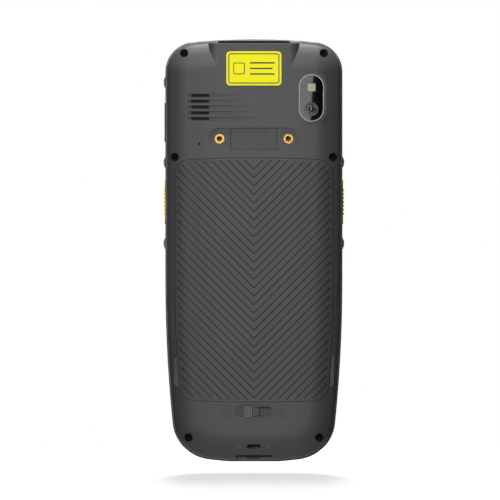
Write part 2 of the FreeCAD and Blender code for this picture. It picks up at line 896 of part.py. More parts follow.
WINDOW_LOW = "-1 * (dims.window_rear + dims.window_tilt_start)"
WINDOW_HIGH = "-1 * (dims.window_tilt_start - dims.window_front)"


def window_span(grow):
    return f"{WINDOW_LOW} - ({grow})", f"{WINDOW_HIGH} + ({grow})"


window_frame = window_block(
    "window_frame_block",
    "dims.window_half_width + dims.window_frame",
    window_span("dims.window_frame"),
    ("-dims.window_frame_depth", "-dims.window_drop / 2"),
)
window_slant = window_block(
    "window_slant",
    "dims.hood_foot_half_width + dims.slant_margin",
    (f"{WINDOW_LOW} - 6", f"{WINDOW_HIGH} + 6"),
    ("0", "6"),
)
window_seat = window_block(
    "window_seat",
    "dims.window_half_width + dims.fit_gap",
    window_span("dims.fit_gap"),
    ("-dims.window_thickness - dims.fit_gap", "1"),
)
window_view = window_block(
    "window_view",
    "dims.window_half_width - dims.window_ledge",
    window_span("-dims.window_ledge"),
    ("-dims.window_frame_depth - 3", "1"),
)
rear_half = box(
    "rear_half", (f"-{SIDE}", SIDE), (f"{BACK} - 1", JOINT), ("0", "dims.body_length")
)
front_half = box(
    "front_half", (f"-{SIDE}", SIDE), (JOINT, FRONT), ("0", "dims.body_length")
)
engine_room = box(
    "engine_room",
    ("-dims.engine_half_width - 2 * dims.key_gap", "dims.engine_half_width + 2 * dims.key_gap"),
    ("-dims.engine_rear - dims.seam_gap", f"{JOINT} + 1"),
    ("dims.engine_low - 4", "dims.engine_high + 2"),
)

# Rear casing: what stands inside it
tray = box(
    "tray",
    ("-dims.bay_half_width - dims.tray_wall", "dims.bay_half_width + dims.tray_wall"),
    (f"{BACK} + dims.bay_wall - 0.6", "dims.bay_floor_front"),
    ("dims.bay_low - dims.tray_wall", "dims.bay_high + dims.tray_wall"),
)
pillars = prism(
    "pillars",
    circles,
    "dims.board_rear",
    BAY_BACK,
    [(f"{sign} * dims.pillar_x", f"dims.pillar_{end}") for sign in (-1, 1) for end in ("low", "high")],
    "dims.pillar_radius",
)
rear_bosses = common(
    "rear_bosses",
    prism("rear_boss_rods", circles, JOINT, f"{BACK} - 1", SCREWS, "dims.boss_radius"),
    rear_outer,
)
INSERTS = [(f"{sign} * dims.insert_spacing / 2", "dims.insert_height") for sign in (-1, 1)]
INSERT_BACK = f"({BACK} + dims.recess_depth)"
insert_bosses = prism(
    "insert_bosses",
    circles,
    f"{INSERT_BACK} + dims.insert_length + 0.2",
    f"{BACK} + dims.rear_wall / 2",
    INSERTS,
    "dims.insert_radius + dims.insert_boss_wall",
)
camera_boss = prism(
    "camera_boss",
    stadium,
    f"{BACK} + dims.rear_wall + 0.7",
    BACK,
    "dims.camera_x",
    "dims.camera_z",
    "dims.camera_width + 2 * dims.camera_boss",
    "dims.camera_length + 2 * dims.camera_boss",
)
lanyard_block = common(
    "lanyard_block",
    box(
        "lanyard_room",
        (
            "-dims.lanyard_recess_half_width - dims.lanyard_block_wall",
            "dims.lanyard_recess_half_width + dims.lanyard_block_wall",
        ),
        (f"{BACK} - 1", JOINT),
        ("0", "dims.lanyard_slot_high + dims.lanyard_block_rise"),
    ),
    rear_outer,
)
LATCH_INNER = f"({INNER_BACK} + dims.fit_gap)"
RETAINER_BACK = f"({LATCH_INNER} + dims.latch_thickness + dims.fit_gap)"
latch_studs = prism(
    "latch_studs",
    circles,
    RETAINER_BACK,
    f"{BACK} + dims.rear_wall / 2",
    [(f"{sign} * dims.stud_place", "dims.latch_height - dims.stud_drop") for sign in (-1, 1)],
    "dims.stud_radius",
)
rear_filled = fuse(
    "rear_filled",
    rear_hollow,
    tray,
    pillars,
    rear_bosses,
    insert_bosses,
    camera_boss,
    lanyard_block,
    latch_studs,
    common("rear_window_frame", window_frame, rear_half),
)

# Rear casing: what is cut out of it
battery_bay = prism(
    "battery_bay",
    rounded_rectangle,
    BAY_BACK,
    f"{BACK} - 1",
    "0",
    "(dims.bay_low + dims.bay_high) / 2",
    "2 * dims.bay_half_width",
    "dims.bay_high - dims.bay_low",
    "dims.bay_corner",
)
screw_bores = prism(
    "screw_bores", circles, SCREW_SEAT, f"{BACK} - 1", SCREWS, "dims.screw_bore_radius"
)
screw_holes = prism(
    "screw_holes",
    circles,
    f"{JOINT} + 1",
    f"{BACK} - 1",
    SCREWS,
    "dims.screw_shank_radius + dims.fit_gap",
)
insert_holes = prism(
    "insert_holes",
    circles,
    f"{INSERT_BACK} + dims.insert_length",
    f"{BACK} - 1",
    INSERTS,
    "dims.insert_radius + dims.shank_gap",
)
recess = prism(
    "recess",
    stadium,
    INSERT_BACK,
    f"{BACK} - 1",
    "0",
    "dims.insert_height",
    "dims.recess_width",
    "dims.recess_height",
)
plate_room = prism(
    "plate_room",
    rectangle,
    f"{BACK} + dims.plate_depth",
    f"{BACK} - 1",
    "0",
    "dims.insert_height",
    "dims.plate_width",
    "dims.recess_height",
)
camera_seat = prism(
    "camera_seat",
    stadium,
    CAMERA_SHELF,
    f"{BACK} - 1",
    "dims.camera_x",
    "dims.camera_z",
    "dims.camera_width + 2 * dims.shank_gap",
    "dims.camera_length + 2 * dims.shank_gap",
)
camera_view = prism(
    "camera_view",
    stadium,
    f"{JOINT}",
    f"{BACK} - 1",
    "dims.camera_x",
    "dims.camera_z",
    "dims.camera_width - 2 * dims.camera_view_margin",
    "dims.camera_length - 2 * dims.camera_view_margin",
)
speaker_seat = prism(
    "speaker_seat",
    rectangle,
    JOINT,
    INNER_BACK,
    "dims.speaker_x",
    "dims.grille_z",
    "dims.speaker_width + 2 * dims.fit_gap",
    "dims.speaker_height + 2 * dims.fit_gap",
)
grille_cuts = []
for i in range(int(SIZES["grille_slot_count"])):
    slot_z = f"dims.grille_z + {2 - i} * dims.grille_pitch"
    grille_cuts.append(
        prism(
            f"grille_slot_{i}",
            stadium,
            f"{INNER_BACK} + 0.1",
            f"{BACK} - 1",
            "dims.grille_x",
            slot_z,
            "dims.grille_slot_length",
            "dims.grille_slot_height",
        )
    )
    tail_end = f"dims.grille_x + dims.grille_tail_length + {i} * dims.grille_tail_growth"
    slope = level_sketch(f"grille_slope_{i}", f"({slot_z}) - dims.grille_tail_height")
    closed_path(
        slope,
        [
            ("-dims.grille_tail_start - 1", f"{BACK} - 1"),
            (tail_end, f"{BACK} - 1"),
            (tail_end, BACK),
            ("-dims.grille_tail_start - 1", f"{BACK} + dims.grille_tail_depth"),
        ],
    )
    tail_plan = prism(
        f"grille_plan_{i}",
        stadium,
        INNER_BACK,
        f"{BACK} - 1",
        f"(({tail_end}) - dims.grille_tail_start) / 2 + 1",
        slot_z,
        f"({tail_end}) + dims.grille_tail_start + 2",
        "dims.grille_tail_height",
    )
    sloped = extrude(f"grille_wedge_{i}", slope, "2 * dims.grille_tail_height")
    grille_cuts.append(common(f"grille_tail_{i}", sloped, tail_plan))
sound_hole = rod(
    "sound_hole",
    "dims.sound_hole_x",
    "dims.sound_hole_z",
    f"{INNER_BACK} + 0.1",
    f"{BACK} - 1",
    "dims.sound_hole_radius",
)
latch_slot = prism(
    "latch_slot",
    rounded_rectangle,
    f"{INNER_BACK} + 0.5",
    f"{BACK} - 1",
    "0",
    "dims.latch_height",
    "dims.latch_slot_width",
    "dims.latch_slot_height",
    "dims.latch_plate_corner",
)
latch_dish = prism(
    "latch_dish",
    stadium,
    f"{BACK} + dims.latch_dish_depth",
    f"{BACK} - 1",
    "0",
    "dims.latch_height",
    "dims.latch_slot_width + 2 * dims.latch_dish",
    "dims.latch_slot_height + 2 * dims.latch_dish",
)
notches = [
    prism(
        f"notch_{side}",
        stadium,
        f"{BACK} + dims.notch_depth",
        f"{BACK} - 1",
        f"{sign} * dims.notch_place",
        "dims.notch_height",
        "dims.notch_width",
        "dims.notch_length",
    )
    for side, sign in (("left", -1), ("right", 1))
]
lanyard_cuts = [
    prism(
        "lanyard_slot",
        rounded_rectangle,
        "-dims.lanyard_passage_front",
        f"{BACK} - 1",
        "0",
        "(dims.lanyard_slot_low + dims.lanyard_slot_high) / 2",
        "2 * dims.lanyard_half_width",
        "dims.lanyard_slot_high - dims.lanyard_slot_low",
        "dims.lanyard_slot_corner",
    ),
    box(
        "lanyard_passage",
        ("-dims.lanyard_half_width", "dims.lanyard_half_width"),
        ("-dims.lanyard_passage_rear", "-dims.lanyard_passage_front"),
        ("-1", "dims.lanyard_slot_high"),
    ),
    box(
        "lanyard_recess",
        ("-dims.lanyard_recess_half_width", "dims.lanyard_recess_half_width"),
        (f"{BACK} + dims.lanyard_recess_low", "-dims.lanyard_passage_front"),
        ("-1", "dims.lanyard_bar_low"),
    ),
]
HOOK_OUTER = f"({BACK} + dims.cover_wall - dims.hook_thickness)"
hook_rooms = [
    box(
        f"hook_room_{side}",
        span(f"{sign} * dims.hook_place", "dims.hook_width + 4 * dims.seam_gap"),
        (f"{HOOK_OUTER} - dims.fit_gap", f"{BACK} + dims.cover_wall + 0.8"),
        ("dims.cover_top - 2", "dims.cover_top + dims.hook_reach + dims.seam_gap"),
    )
    for side, sign in (("left", -1), ("right", 1))
]
CATCH_X = "(-1 * dims.catch_place)"
CATCH_Z = "(dims.cover_low + dims.catch_lift)"
catch_room = box(
    "catch_room",
    span(CATCH_X, "dims.catch_width + 2 * dims.battery_gap"),
    (f"{BACK} - 1", f"{BACK} + dims.bay_wall + 0.2"),
    span(CATCH_Z, "dims.catch_height + 2 * dims.battery_gap"),
)
seal_ring = cut(
    "cover_seal_room",
    prism(
        "cover_seal_outer",
        outline,
        JOINT,
        f"{BACK} - 1",
        COVER,
        "dims.cover_seal_inset - dims.fit_gap / 2",
    ),
    prism(
        "cover_seal_inner",
        outline,
        JOINT,
        f"{BACK} - 1",
        COVER,
        "dims.cover_seal_inset + dims.cover_seal_width + dims.fit_gap / 2",
    ),
)
seal_layer = cut(
    "cover_seal_layer",
    ledge_form,
    rear_form("cover_seal_floor", f"{LEDGE} + dims.cover_seal_height"),
)
seal_groove = common("cover_seal_groove", seal_ring, seal_layer)
contact_room = box(
    "contact_room",
    span("0", "dims.contact_width + 2 * dims.fit_gap"),
    span(f"{BAY_BACK} - dims.contact_height", "dims.contact_depth + 2 * dims.fit_gap"),
    ("dims.bay_low - dims.tray_wall - 0.5", "dims.bay_low + 0.5"),
)
below_foot = box(
    "below_foot", (f"-{SIDE}", SIDE), (f"{BACK} - 1", f"{FRONT} + 1"), ("-3", "0")
)
piece(
    "rear_casing",
    cut(
        "rear_casing_solid",
        rear_filled,
        battery_bay,
        engine_room,
        screw_bores,
        screw_holes,
        insert_holes,
        recess,
        plate_room,
        camera_seat,
        camera_view,
        speaker_seat,
        *grille_cuts,
        sound_hole,
        latch_slot,
        latch_dish,
        *notches,
        *lanyard_cuts,
        *hook_rooms,
        catch_room,
        seal_groove,
        contact_room,
        window_slant,
        window_seat,
        window_view,
        below_foot,
    ),
)

# Front casing
front_shell, shell_pad = plain_body("front_shell", outline, FRONT, JOINT, BODY, "0")
front_round = rounded_edges(front_shell, shell_pad, "dims.front_edge_radius", edges_at_depth(FRONT))
rounded_edges(front_shell, front_round, "dims.joint_edge_radius", edges_at_depth(JOINT))
front_cavity = prism(
    "front_cavity", outline, f"{FRONT} - dims.front_plate", f"{JOINT} - 1", BODY, "dims.front_wall"
)
front_bosses = common(
    "front_bosses",
    prism("front_boss_rods", circles, "dims.boss_top", JOINT, SCREWS, "dims.boss_radius"),
    front_shell,
)


def guard(name, sign, z):
    """A bump beside a side key that keeps it from being pressed when the terminal is laid down."""
    sketch = sketch_at(name + "_outline", "dims.side_key_y + dims.guard_depth / 2")
    near = f"{sign} * ({SIDE} - 0.6)"
    far = f"{sign} * ({SIDE} + dims.guard_proud)"
    low_base, high_base = span(z, "dims.guard_base")
    low_top, high_top = span(z, "dims.guard_top")
    corners = [(near, low_base), (f"{sign} * {SIDE}", low_base), (far, low_top)]
    corners += [(far, high_top), (f"{sign} * {SIDE}", high_base), (near, high_base)]
    closed_path(sketch, corners)
    return extrude(name, sketch, "dims.guard_depth")


guards = [
    guard("guard_low_left", -1, "dims.guard_low"),
    guard("guard_mid_left", -1, "dims.guard_mid"),
    guard("guard_high_left", -1, "dims.guard_high"),
    guard("guard_low_right", 1, "dims.guard_low"),
    guard("guard_mid_right", 1, "dims.guard_mid"),
]
front_filled = fuse(
    "front_filled",
    cut("front_hollow", front_shell, front_cavity),
    front_bosses,
    common("front_window_frame", window_frame, front_half),
    *guards,
)
front_screw_holes = prism(
    "front_screw_holes",
    circles,
    "dims.boss_top - 0.4",
    f"{JOINT} - 1",
    SCREWS,
    "dims.screw_shank_radius + dims.shank_gap",
)
GLASS_MID = "((dims.glass_low + dims.glass_high) / 2)"
glass_seat = prism(
    "glass_seat",
    rounded_rectangle,
    f"{FRONT} + 1",
    GLASS_BACK,
    "0",
    GLASS_MID,
    "dims.glass_width + 2 * dims.fit_gap",
    "dims.glass_high - dims.glass_low + 2 * dims.fit_gap",
    "dims.glass_corner + dims.fit_gap",
)
display_opening = prism(
    "display_opening",
    rounded_rectangle,
    f"{FRONT} + 1",
    f"{FRONT} - dims.front_plate - 1",
    "0",
    GLASS_MID,
    "dims.glass_width - 2 * dims.display_ledge",
    "dims.glass_high - dims.glass_low - 2 * dims.display_ledge",
    "dims.glass_corner - dims.display_ledge",
)


def keypad_plan(name, inset, y_front, y_back):
    """The keypad's outline: the casing's own, moved in and closed off below the display."""
    plan = prism(name + "_plan", outline, y_front, y_back, BODY, inset)
    limit = prism(
        name + "_limit",
        rounded_rectangle,
        y_front,
        y_back,
        "0",
        f"dims.bezel_high / 2 - ({inset}) / 2 + dims.bezel_inset / 2 - 10",
        f"dims.body_width - 2 * ({inset})",
        f"dims.bezel_high - ({inset}) + dims.bezel_inset + 20",
        "2.5",
    )
    return common(name, plan, limit)


bezel_seat = keypad_plan(
    "bezel_seat", "dims.bezel_inset - dims.shank_gap", f"{FRONT} + 1", BEZEL_BACK
)
keypad_opening = keypad_plan(
    "keypad_opening",
    "dims.bezel_inset + dims.bezel_ledge",
    f"{FRONT} + 1",
    f"{FRONT} - dims.front_plate - 1",
)
usb_sketch = level_sketch("usb_opening_outline", "-1")
stadium(
    usb_sketch,
    "0",
    "dims.usb_y",
    "dims.usb_width + 2 * dims.fit_gap",
    "dims.usb_height + 2 * dims.fit_gap",
)
usb_opening = extrude("usb_opening", usb_sketch, "dims.front_wall + 2")
SIDE_INNER = f"({SIDE} - dims.front_wall)"
side_slots = [
    side_prism(
        f"side_slot_{side}",
        sign,
        rounded_rectangle,
        f"{SIDE_INNER} - 1",
        f"{SIDE} + 1",
        "dims.side_key_y",
        "dims.side_key_height",
        "dims.side_key_depth + 2 * dims.key_gap",
        "dims.side_key_length + 2 * dims.key_gap",
        "1.2 + dims.key_gap",
    )
    for side, sign in (("left", -1), ("right", 1))
]
rocker_slot = side_prism(
    "rocker_slot",
    -1,
    rounded_rectangle,
    f"{SIDE_INNER} - 1",
    f"{SIDE} + 1",
    "dims.side_key_y",
    "dims.rocker_height",
    "dims.rocker_depth + 2 * dims.key_gap",
    "dims.rocker_length + 2 * dims.key_gap",
    "1.2 + dims.key_gap",
)
JOINT_RING = "dims.rim_step + dims.seal_inset"


def joint_ring(name, gap, depth):
    outer = prism(name + "_outer", outline, f"{JOINT} + {depth}", JOINT, BODY, f"{JOINT_RING} + {gap}")
    inner = prism(
        name + "_inner",
        outline,
        f"{JOINT} + {depth}",
        f"{JOINT} - 1",
        BODY,
        f"{JOINT_RING} + dims.seal_width - {gap}",
    )
    return cut(name, outer, inner)


piece(
    "front_casing",
    cut(
        "front_casing_solid",
        front_filled,
        front_screw_holes,
        glass_seat,
        display_opening,
        bezel_seat,
        keypad_opening,
        usb_opening,
        *side_slots,
        rocker_slot,
        joint_ring("casing_seal_groove", "0", "dims.seal_depth"),
        window_slant,
        window_seat,
        window_view,
        below_foot,
    ),
)
seal_break = box(
    "casing_seal_break",
    ("-dims.window_half_width - dims.window_frame", "dims.window_half_width + dims.window_frame"),
    (f"{JOINT} - 1", f"{JOINT} + 2"),
    ("dims.body_length - 10", "dims.body_length"),
)
piece(
    "casing_seal",
    cut(
        "casing_seal_solid",
        joint_ring("casing_seal_ring", "dims.shank_gap", "(dims.seal_depth - dims.shank_gap)"),
        seal_break,
    ),
)

# Screws that hold the casings together
screws = fuse(
    "screw_blanks",
    prism(
        "screw_heads",
        circles,
        SCREW_SEAT,
        f"{SCREW_SEAT} - dims.screw_head_height",
        SCREWS,
        "dims.screw_head_radius",
    ),
    prism(
        "screw_shanks",
        circles,
        f"{SCREW_SEAT} + dims.screw_length",
        SCREW_SEAT,
        SCREWS,
        "dims.screw_shank_radius",
    ),
)
piece(
    "casing_screws",
    cut(
        "casing_screws_solid",
        screws,
        prism(
            "screw_sockets",
            circles,
            f"{SCREW_SEAT} - dims.screw_head_height + dims.socket_depth",
            f"{SCREW_SEAT} - dims.screw_head_height - 1",
            SCREWS,
            "dims.socket_radius",
        ),
    ),
)

# Battery cover with its chevron grooves, hooks and catch
cover_plan = prism("cover_plan", outline, JOINT, f"{BACK} - 1", COVER, "0")
cover_shell = cut("cover_shell", rear_outer, rear_form("cover_inner", COVER_INNER))
groove_layer = cut("groove_layer", rear_outer, rear_form("groove_floor", "dims.groove_depth"))
groove_plan = prism("groove_plan", outline, JOINT, f"{BACK} - 1", COVER, "dims.groove_margin")
bars = []
for i in range(int((SIZES["groove_first"] + 8) / SIZES["groove_pitch"]) + 1):
    bar = sketch_at(f"chevron_outline_{i}", JOINT)
    low = f"dims.groove_first - {i} * dims.groove_pitch - dims.groove_width / sqrt(2)"
    high = f"dims.groove_first - {i} * dims.groove_pitch + dims.groove_width / sqrt(2)"
    reach = "dims.cover_half_width"
    closed_path(
        bar,
        [
            ("0", low),
            (reach, f"{low} + {reach}"),
            (reach, f"{high} + {reach}"),
            ("0", high),
            (f"-{reach}", f"{high} + {reach}"),
            (f"-{reach}", f"{low} + {reach}"),
        ],
    )
    bars.append(extrude(f"chevron_{i}", bar, "dims.rear_depth + 1"))
grooves = common("grooves", common("groove_field", groove_layer, groove_plan), compound("chevrons", *bars))
hooks = [
    box(
        f"hook_{side}",
        span(f"{sign} * dims.hook_place", "dims.hook_width"),
        (HOOK_OUTER, f"{BACK} + dims.cover_wall"),
        ("dims.cover_top - 1.8", "dims.cover_top + dims.hook_reach"),
    )
    for side, sign in (("left", -1), ("right", 1))
]
catch_stem = box(
    "catch_stem",
    (f"{CATCH_X} - dims.catch_width / 2", f"{CATCH_X} + dims.fit_gap"),
    (f"{BACK} + dims.cover_wall - 0.3", f"{BACK} + dims.bay_wall + dims.catch_reach"),
    span(CATCH_Z, "dims.catch_height"),
)
catch_nose = box(
    "catch_nose",
    (CATCH_X, f"{CATCH_X} + dims.catch_width / 2"),
    (
        f"{BACK} + dims.bay_wall + dims.catch_reach - dims.catch_nose",
        f"{BACK} + dims.bay_wall + dims.catch_reach",
    ),
    span(CATCH_Z, "dims.catch_height"),
)
piece(
    "battery_cover",
    cut(
        "battery_cover_solid",
        fuse(
            "cover_blank",
            common("cover_plate", cover_shell, cover_plan),
            *hooks,
            catch_stem,
            catch_nose,
        ),
        grooves,
    ),
)
piece(
    "cover_seal",
    common(
        "cover_seal_solid",
        cut(
            "cover_seal_ring",
            prism(
                "cover_seal_edge",
                outline,
                JOINT,
                f"{BACK} - 1",
                COVER,
                "dims.cover_seal_inset",
            ),
            prism(
                "cover_seal_bore",
                outline,
                JOINT,
                f"{BACK} - 1",
                COVER,
                "dims.cover_seal_inset + dims.cover_seal_width",
            ),
        ),
        cut(
            "cover_seal_height",
            rear_form("cover_seal_top", f"{LEDGE} + dims.fit_gap / 2"),
            rear_form("cover_seal_base", f"{LEDGE} + dims.cover_seal_height - dims.fit_gap / 2"),
        ),
    ),
)

# Battery and its contacts
BATTERY_MID = "((dims.bay_low + dims.bay_high) / 2)"
battery, battery_pad = plain_body(
    "battery",
    rounded_rectangle,
    BAY_BACK,
    f"{BAY_BACK} - dims.battery_thickness",
    "0",
    BATTERY_MID,
    "2 * (dims.bay_half_width - dims.battery_gap)",
    "dims.bay_high - dims.bay_low - 2 * dims.battery_gap",
    "dims.battery_corner",
)
rounded_edges(
    battery, battery_pad, "0.8", edges_at_depth(f"{BAY_BACK} - dims.battery_thickness")
)
piece("battery_pack", battery)
CONTACT_Y = f"({BAY_BACK} - dims.contact_height)"
contact_block = box(
    "contact_block_solid",
    span("0", "dims.contact_width"),
    span(CONTACT_Y, "dims.contact_depth"),
    ("dims.bay_low - dims.contact_length", "dims.bay_low - dims.fit_gap"),
)
piece("contact_block", contact_block)
pins = []
for i in range(4):
    pins.append(
        box(
            f"contact_pin_{i}",
            span(f"{i - 1.5} * dims.contact_pitch", "dims.contact_pin"),
            span(CONTACT_Y, "dims.contact_pin"),
            ("dims.bay_low - dims.fit_gap", "dims.bay_low + dims.battery_gap - dims.fit_gap"),
        )
    )
piece("contact_pins", compound("contact_pin_set", *pins))

# Latch: a slider behind the casing's wall, its grip in the slot and its bolt behind the cover's catch
LATCH_X = "(-1 * dims.latch_travel / 2)"
GRIP_BACK = f"({BACK} + dims.latch_dish_depth - dims.fit_gap / 2)"
BOLT_BACK = f"({BACK} + dims.bay_wall + dims.fit_gap)"
latch, _ = plain_body(
    "latch",
    rounded_rectangle,
    f"{LATCH_INNER} + dims.fit_gap",
    f"{BACK} + dims.latch_plate_depth",
    LATCH_X,
    "dims.latch_height",
    "dims.latch_plate_width",
    "dims.latch_slot_height - 2 * dims.fit_gap",
    "dims.latch_plate_corner",
)
padded(
    latch,
    "latch_flange",
    rectangle,
    f"{LATCH_INNER} + dims.latch_thickness",
    LATCH_INNER,
    LATCH_X,
    "dims.latch_height",
    "dims.latch_slot_width + dims.latch_travel + 2 * dims.latch_cover_margin",
    "dims.latch_flange_height",
)
padded(
    latch,
    "latch_bolt_foot",
    rectangle,
    f"{BOLT_BACK} + dims.latch_thickness",
    f"{LATCH_INNER} + dims.latch_thickness - dims.fit_gap",
    LATCH_X,
    "dims.latch_height + dims.latch_foot_lift",
    "dims.latch_bolt_width",
    "dims.latch_foot_height",
)
padded(
    latch,
    "latch_bolt",
    rectangle,
    f"{BOLT_BACK} + dims.latch_thickness",
    BOLT_BACK,
    LATCH_X,
    "(dims.latch_height + dims.latch_bolt_top) / 2",
    "dims.latch_bolt_width",
    "dims.latch_bolt_top - dims.latch_height",
)
padded(
    latch,
    "latch_neck",
    rectangle,
    f"{BACK} + dims.latch_neck_depth",
    GRIP_BACK,
    LATCH_X,
    "dims.latch_height",
    "dims.latch_grip_width",
    "dims.latch_slot_height - 2 * dims.fit_gap",
)
grip = padded(
    latch,
    "latch_grip",
    rounded_rectangle,
    GRIP_BACK,
    f"{BACK} - dims.latch_grip_proud",
    LATCH_X,
    "dims.latch_height",
    "dims.latch_grip_width",
    "dims.latch_grip_height",
    "dims.latch_grip_corner",
)


def rib_cuts(sketch, x, z, count, pitch, width, height):
    for i in range(count):
        rectangle(sketch, f"({x}) + ({i - (count - 1) / 2}) * {pitch}", z, width, height)


latch_ribs = sketch_at(
    "latch_ribs", f"{BACK} - dims.latch_grip_proud + dims.latch_rib_depth", latch
)
rib_cuts(
    latch_ribs,
    LATCH_X,
    "dims.latch_height",
    4,
    "dims.latch_rib_pitch",
    "dims.latch_rib_gap",
    "dims.latch_grip_height - 2 * dims.latch_rib_margin",
)
rib_pocket = latch.newObject("PartDesign::Pocket", "latch_rib_cuts")
rib_pocket.Profile = latch_ribs
rib_pocket.Reversed = True
rib_pocket.Length = 1
piece("latch_slider", latch)
retainer, _ = plain_body(
    "retainer",
    rectangle,
    f"{RETAINER_BACK} + dims.retainer_thickness",
    RETAINER_BACK,
    "0",
    "dims.latch_height - dims.retainer_drop",
    "dims.retainer_width",
    "dims.retainer_height",
)
piece("latch_retainer", retainer)

# Threaded inserts and the plate between them
insert_rods = prism(
    "insert_rods", circles, f"{INSERT_BACK} + dims.insert_length", INSERT_BACK, INSERTS, "dims.insert_radius"
)
insert_bores = prism(
    "insert_bores",
    circles,
    f"{INSERT_BACK} + dims.insert_length - 0.5",
    f"{INSERT_BACK} - 1",
    INSERTS,
    "dims.insert_bore_radius",
)
piece("threaded_inserts", cut("threaded_inserts_solid", insert_rods, insert_bores))
plate, _ = plain_body(
    "plate",
    rectangle,
    f"{BACK} + dims.plate_depth",
    f"{BACK} + dims.plate_depth - dims.plate_thickness",
    "0",
    "dims.insert_height",
    "dims.plate_width - 2 * dims.plate_gap",
    "dims.recess_height - 2 * dims.fit_gap",
)
piece("accessory_plate", plate)

# Camera
piece(
    "camera_ring",
    cut(
        "camera_ring_solid",
        prism(
            "camera_ring_outer",
            stadium,
            CAMERA_SHELF,
            CAMERA_FRONT,
            "dims.camera_x",
            "dims.camera_z",
            "dims.camera_width",
            "dims.camera_length",
        ),
        prism(
            "camera_ring_inner",
            stadium,
            f"{CAMERA_SHELF} + 1",
            f"{CAMERA_FRONT} - 1",
            "dims.camera_x",
            "dims.camera_z",
            "dims.camera_width - 2 * dims.camera_ring",
            "dims.camera_length - 2 * dims.camera_ring",
        ),
    ),
)
camera_glass, _ = plain_body(
    "camera_glass_body",
    stadium,
    CAMERA_SHELF,
    f"{CAMERA_FRONT} + dims.camera_glass_sink",
    "dims.camera_x",
    "dims.camera_z",
    "dims.camera_width - 2 * dims.camera_ring - 2 * dims.shank_gap",
    "dims.camera_length - 2 * dims.camera_ring - 2 * dims.shank_gap",
)
piece("camera_glass", camera_glass)
HOLDER_BACK = "(dims.board_rear - dims.camera_holder_depth)"
LENS_BACK = f"({CAMERA_SHELF} + dims.camera_gap)"
holder, _ = plain_body(
    "holder",
    rectangle,
    "dims.board_rear",
    HOLDER_BACK,
    "dims.camera_x",
    "(dims.camera_holder_low + dims.camera_holder_high) / 2",
    "dims.camera_holder_width",
    "dims.camera_holder_high - dims.camera_holder_low",
)
padded(
    holder,
    "flash_post",
    rectangle,
    f"{HOLDER_BACK} + 0.1",
    f"{HOLDER_BACK} - 1.2",
    "dims.camera_x",
    "dims.flash_z",
    "dims.flash_size",
    "dims.flash_size",
)
pocketed(
    holder,
    "camera_case_room",
    rectangle,
    f"{HOLDER_BACK} - 0.7 + dims.camera_case_depth",
    f"{HOLDER_BACK} - 1",
    "dims.camera_x",
    "dims.lens_z",
    "dims.camera_case + 0.1",
    "dims.camera_case + 0.1",
)
piece("camera_holder", holder)
camera, _ = plain_body(
    "camera",
    rectangle,
    f"{HOLDER_BACK} - 0.7 + dims.camera_case_depth",
    f"{HOLDER_BACK} - 0.7",
    "dims.camera_x",
    "dims.lens_z",
    "dims.camera_case",
    "dims.camera_case",
)
padded(
    camera,
    "lens_barrel",
    circles,
    f"{HOLDER_BACK} - 0.6",
    LENS_BACK,
    [("dims.camera_x", "dims.lens_z")],
    "dims.lens_radius",
)
piece("camera_module", camera)
flash, _ = plain_body(
    "flash",
    rounded_rectangle,
    f"{HOLDER_BACK} - 1.2",
    LENS_BACK,
    "dims.camera_x",
    "dims.flash_z",
    "dims.flash_size",
    "dims.flash_size",
    "0.6",
)
piece("flash_lamp", flash)

# Loudspeaker and microphone
mesh, _ = plain_body(
    "mesh",
    rectangle,
    f"{INNER_BACK} + dims.speaker_mesh_depth",
    INNER_BACK,
    "dims.speaker_x",
    "dims.grille_z",
    "dims.speaker_width",
    "dims.speaker_height",
)
piece("speaker_mesh", mesh)
speaker, speaker_pad = plain_body(
    "speaker_case",
    rounded_rectangle,
    f"{INNER_BACK} + dims.speaker_mesh_depth + dims.speaker_depth",
    f"{INNER_BACK} + dims.speaker_mesh_depth",
    "dims.speaker_x",
    "dims.grille_z",
    "dims.speaker_width",
    "dims.speaker_height",
    "1.2",
)
piece("speaker", speaker)
microphone, _ = plain_body(
    "microphone_case",
    rectangle,
    f"{INNER_BACK} + dims.microphone_depth",
    INNER_BACK,
    "dims.sound_hole_x",
    "dims.sound_hole_z",
    "dims.microphone_width",
    "dims.microphone_height",
)
piece("microphone", microphone)

# Label on the hood
tag, _ = plain_body(
    "tag",
    rounded_rectangle,
    BACK,
    f"{BACK} - dims.label_thickness",
    "0",
    "dims.label_z",
    "dims.label_width",
    "dims.label_height",
    "dims.label_corner",
)
piece("label_tag", tag)

# Scan window, scan engine and its bracket
piece(
    "scan_window",
    window_block(
        "scan_window_solid",
        "dims.window_half_width",
        (WINDOW_LOW, WINDOW_HIGH),
        ("-dims.window_thickness - dims.fit_gap", "-dims.fit_gap"),
    ),
)
ENGINE_X = ("-dims.engine_half_width", "dims.engine_half_width")
engine_block = box(
    "engine_block",
    ENGINE_X,
    ("-dims.engine_rear", "dims.engine_front"),
    ("dims.engine_low", "dims.engine_high - 1.6"),
)
engine_bezel = box(
    "engine_bezel",
    ("-dims.engine_half_width + 0.8", "dims.engine_half_width - 0.8"),
    ("-dims.engine_rear + 0.8", "dims.window_front - 0.4"),
    ("dims.engine_high - 2", "dims.engine_high - 0.4"),
)
sights = []
for sight, x, half in (("imager", "-3.6", "2.6"), ("aimer", "4.4", "2.0")):
    sights.append(
        box(
            f"{sight}_opening",
            (f"{x} - {half}", f"{x} + {half}"),
            span("(dims.window_front - dims.engine_rear) / 2", "4.4"),
            ("dims.engine_high - 2.4", "dims.engine_high + 1"),
        )
    )
piece("scan_engine", cut("scan_engine_solid", fuse("engine_blank", engine_block, engine_bezel), *sights))
bracket_floor = box(
    "bracket_floor",
    ("-dims.engine_half_width - 1.6", "dims.engine_half_width + 1.6"),
    ("-dims.engine_rear + 1", "dims.engine_front + 0.1"),
    ("dims.engine_low - 1.3", "dims.engine_low"),
)
bracket_ears = []
